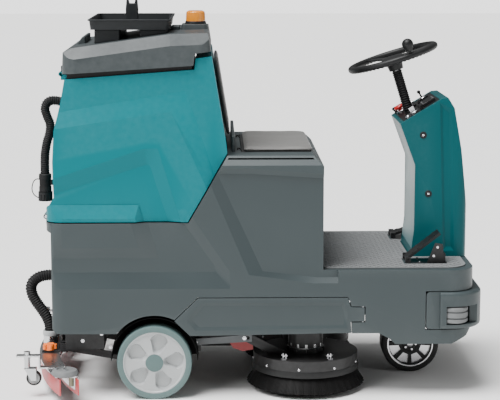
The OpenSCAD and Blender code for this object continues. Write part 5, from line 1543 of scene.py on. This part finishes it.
BLACK_VINYL = finish("black_vinyl", linear(18, 18, 19), rough=0.5, grain=420, bump=0.4, dusty=0.0, sheen=0.1)
dress(back, "back_pad", BLACK_VINYL, "recovery_tank", "pad_black", "backrest_pad")
print("seat", len(seat.data.vertices), "points, back", len(back.data.vertices))

# %% [markdown]
# ## Tray, beacon and steering wheel
# The tray has a rolled rim, a fork in its middle for a mop handle, and two feet that follow the slope of
# the lid. Its walls lean, so it is a prism between two outlines of different size, hollowed by another.

# %% Tool tray
TRAY_X = (BODY_REAR + 130, BODY_REAR + 403)
TRAY_Z = 1245
tray = prism(round_rect(TRAY_X[0] + 4, TRAY_X[1] - 4, -247, 247, 14), TRAY_Z, TRAY_Z + 31, "z",
             round_rect(TRAY_X[0], TRAY_X[1], -250, 250, 16))
cut(tray, prism(round_rect(TRAY_X[0] + 9, TRAY_X[1] - 9, -241, 241, 10), TRAY_Z + 4, TRAY_Z + 40, "z",
                round_rect(TRAY_X[0] + 4, TRAY_X[1] - 4, -246, 246, 12)))
rim_piece = prism(round_rect(TRAY_X[0] - 5, TRAY_X[1] + 5, -255, 255, 18), TRAY_Z + 30, TRAY_Z + 35, "z")
cut(rim_piece, prism(round_rect(TRAY_X[0] + 4, TRAY_X[1] - 4, -246, 246, 12), TRAY_Z, TRAY_Z + 60, "z"))
rounded(rim_piece, 1.6, 3, 40)
smooth(tray, 30)
joined(tray, smooth(rim_piece, 40))


def lid_height(x):
    return 1188.4 + (x - BODY_REAR - 76) * 46 / (TOE_LOW - BODY_REAR - 135)


for x0, x1 in ((TRAY_X[0] + 17, TRAY_X[0] + 102), (TRAY_X[0] + 170, TRAY_X[0] + 262)):
    foot = prism([(x0, lid_height(x0)), (x1, lid_height(x1)), (x1, TRAY_Z), (x0, TRAY_Z)], -236, 236)
    joined(tray, smooth(rounded(foot, 3, 2, 40), 40))
PRONG = [(113, 3), (154, 3), (155, 60), (152, 94), (146, 95), (143, 80), (124, 80), (121, 95), (115, 94),
         (112, 60)]
for side in (-1, 1):
    prong = prism([(TRAY_X[0] + x, TRAY_Z + z) for x, z in PRONG], *across(side, 10, 23))
    joined(tray, smooth(rounded(prong, 2.5, 3, 40), 40))
web = box((TRAY_X[0] + 124, -12, TRAY_Z + 3), (TRAY_X[0] + 143, 12, TRAY_Z + 76))
joined(tray, smooth(rounded(web, 2, 2), 40))
dress(tray, "tray_moulding", TRAY_GREY, "tank_lid", "black_plastic", "tool_tray")

# %% [markdown]
# ### Beacon
# The beacon is an amber dome with thirty flutes on a dark foot. The dome is turned, and then the points
# of its wall are drawn in by a cosine of their angle, which is exact and needs no cut.

# %% Beacon
AMBER = bpy.data.materials.new("amber_lens")
AMBER.use_nodes = True
amber_nodes, amber_links = AMBER.node_tree.nodes, AMBER.node_tree.links
amber = amber_nodes["Principled BSDF"]
rib_noise, rib_mix = amber_nodes.new("ShaderNodeGroup"), amber_nodes.new("ShaderNodeMix")
rib_noise.node_tree = GRAIN
rib_mix.data_type = "RGBA"
rib_mix.inputs[6].default_value = (0.72, 0.17, 0.0, 1)
rib_mix.inputs[7].default_value = (0.95, 0.36, 0.02, 1)
amber_links.new(rib_noise.outputs["Patches"], rib_mix.inputs["Factor"])
amber_links.new(rib_mix.outputs[2], amber.inputs["Base Color"])
give(amber, {"Roughness": 0.12, "Transmission Weight": 0.2, "Coat Weight": 0.5})
lens_low, lens_high = corners("beacon_lens")
lens_mid = (lens_low + lens_high) / 2
flutes = 30
lens = turned([(0, 9), (34, 9), (34, 14), (33, 38), (31, 42), (24, 45.6), (0, 46)], 120)
for vertex in lens.data.vertices:
    r = hypot(vertex.co.x, vertex.co.y)
    if 0.028 < r < 0.0345:
        wave = 1 - 0.028 * (0.5 + 0.5 * cos(flutes * atan2(vertex.co.y, vertex.co.x)))
        vertex.co.x, vertex.co.y = vertex.co.x * wave, vertex.co.y * wave
at(smooth(lens, 40), lens_mid.x, 0, lens_low.z)
dress(lens, "beacon_dome", AMBER, "tank_lid", "beacon_amber", "beacon_lens")
foot_ring = smooth(at(turned([(0, 0), (37, 0), (37, 6), (35, 9), (0, 9)], 64), lens_mid.x, 0,
                      lens_low.z), 40)
dress(foot_ring, "beacon_foot", BLACK_PLASTIC, "tank_lid", "black_plastic")

# %% [markdown]
# ### Steering wheel
# The rim is a turned ring with small waves under it for the fingers, on three spokes with round edges.
# It is made flat and then set on the leaning shaft. The ball knob turns on its own stem.

# %% Steering wheel
RIM_R, RIM_UP = 152, 211
rim_profile = [(RIM_R + 12 * cos(tau * k / 16), 11.4 * sin(tau * k / 16)) for k in range(16)]
wheel = turned(rim_profile, 120)
for vertex in wheel.data.vertices:
    a = atan2(vertex.co.y, vertex.co.x)
    if vertex.co.z < -0.004:
        vertex.co.z += 0.0011 * cos(60 * a)
smooth(wheel, 60)
hub_piece = smooth(turned([(0, -46), (25, -46), (30, -14), (42, -8), (42, 0), (36, 3), (20, 4), (0, 4.5)],
                          56), 36)
cut(hub_piece, disc((0, 0), 10.1, -60, -38, "z", 32))
smooth(hub_piece, 36)
joined(wheel, hub_piece)
for a in (0, 120, 240):
    spoke = prism([(28, -19), (90, -12), (RIM_R - 4, -15), (RIM_R - 4, 15), (90, 12), (28, 19)], -7, 0, "z")
    for vertex in spoke.data.vertices:
        vertex.co.z += 0.004 * (vertex.co.x - 0.028) / 0.12
    moved(rounded(spoke, 2.6, 3, 40), Matrix.Rotation(radians(a), 4, "Z"))
    joined(wheel, smooth(spoke, 40))
KNOB_A = radians(-71)
stem = disc((RIM_R * cos(KNOB_A), RIM_R * sin(KNOB_A)), 5, 6, 32, "z", 24)
joined(wheel, smooth(stem, 40))
moved(wheel, IN_STEER @ Matrix.Translation((0, 0, RIM_UP * MM)))
dress(wheel, "wheel_rim", BLACK_PLASTIC, "steering", "black_plastic", "steering_wheel")
ball = arc(0, 24, 20, -35, 86, 12)
knob = smooth(turned([(5.1, 0), (11, 0), (12, 2), (14.5, 8), (16, 12), *ball, (0, 44), (0, 22), (5.1, 21.5)],
                     48), 60)
knob_place = Vector((RIM_R * cos(KNOB_A), RIM_R * sin(KNOB_A), RIM_UP + 18))
moved(knob, IN_STEER @ Matrix.Translation(knob_place * MM))
dress(knob, "spinner_ball", BLACK_PLASTIC, "spinner_knob", "black_plastic", "spinner_knob")

# %% [markdown]
# ### Dash
# Chrome bezels ring the switches, and small push buttons and a battery gauge fill the panel.

# %% Dash details
DASH_SPOTS = {"estop": (36, 96), "key": (62, -96), "lever": (124, 84), "gauge": (126, -60)}


def on_dash(profile, spot, steps):
    """A turned part at (u, v) on the dash plate: u up the slope, v to the left."""
    return at(turned(profile, steps), *spot, 0)


def gauge_plate(half_u, half_v, low, high):
    u, v = DASH_SPOTS["gauge"]
    return box((u - half_u, v - half_v, low), (u + half_u, v + half_v, high))


def switch_ring(r):
    return [(r - 3.5, 3), (r + 1.5, -1), (r + 2, 4.5), (r, 6.2), (r - 3, 5.6)]


bezels = joined(on_dash(switch_ring(15), DASH_SPOTS["key"], 40),
                on_dash(switch_ring(17), DASH_SPOTS["estop"], 40),
                on_dash([(8.5, 3), (13, 3), (13, 5.5), (11.5, 7), (8.5, 7)], DASH_SPOTS["lever"], 32),
                on_dash([(0, -1), (8, -1), (8, 6), (6.5, 8), (0, 8)], (36, -118), 32),
                on_dash([(0, -1), (7, -1), (7, 7), (5, 9), (0, 9)], (86, 118), 32),
                rounded(gauge_plate(22, 32, 9, 10.2), 0.5, 2))
dress(smooth(moved(bezels, IN_DASH), 36), "dash_bezels", ZINC, "machine", "zinc")
BUTTON = [(0, -1), (5, -1), (5, 3.5), (3.5, 4.6), (0, 4.6)]
push_buttons = [rounded(on_dash(BUTTON, (52 + 17 * k, 40), 24), 0.3, 1) for k in range(5)]
gauge_parts = joined(gauge_plate(18, 28, 10.1, 11.2), *push_buttons,
                     on_dash([(0, -1), (6, -1), (6, 12), (9, 16), (9, 22), (7, 24), (0, 24)], (20, 112), 28),
                     on_dash([(0, -1), (6, -1), (6, 10), (10, 13), (10, 18), (7, 20), (0, 20)], (92, -120),
                             28))
dress(smooth(moved(gauge_parts, IN_DASH), 36), "dash_buttons", BLACK_PLASTIC, "machine", "black_plastic")

# %% [markdown]
# ### Squeegee details
# A pale hook ring, a clear tube at each end of the blade and the screws of the blade's clamp strips are
# small pieces on the squeegee.

# %% Squeegee details
SQUEEGEE_R = 1108
ARC_X = SQUEEGEE_X + SQUEEGEE_R


def on_arc(y, r):
    return ARC_X - (r * r - y * y) ** 0.5


tubes = both(lambda: smooth(disc((on_arc(446, 1092), -446), 7, 66, 96, "z", 24), 40))
dress(tubes, "end_tubes", KHAKI, "squeegee", "black_plastic")
strip_bolts = []
for k in range(9):
    y = -432 + 108 * k
    strip_bolts.append(((on_arc(y, 1133) - 0.2, y, 76), (-1, 0, 0), (0, 0, 1)))
    strip_bolts.append(((on_arc(y, 1083) + 0.2, y, 76), (1, 0, 0), (0, 0, 1)))
dress(scattered(screw_head(4.2, 2.4), strip_bolts, ZINC), "blade_screws", ZINC, "squeegee", "zinc")
port_ring = smooth(at(turned([(21.6, 134), (27, 134), (28, 137), (28, 149), (26, 152), (22, 152)], 48),
                      SQUEEGEE_X, 0, 0), 36)
dress(port_ring, "hose_collar", HUB_GREY, "squeegee", "stainless")
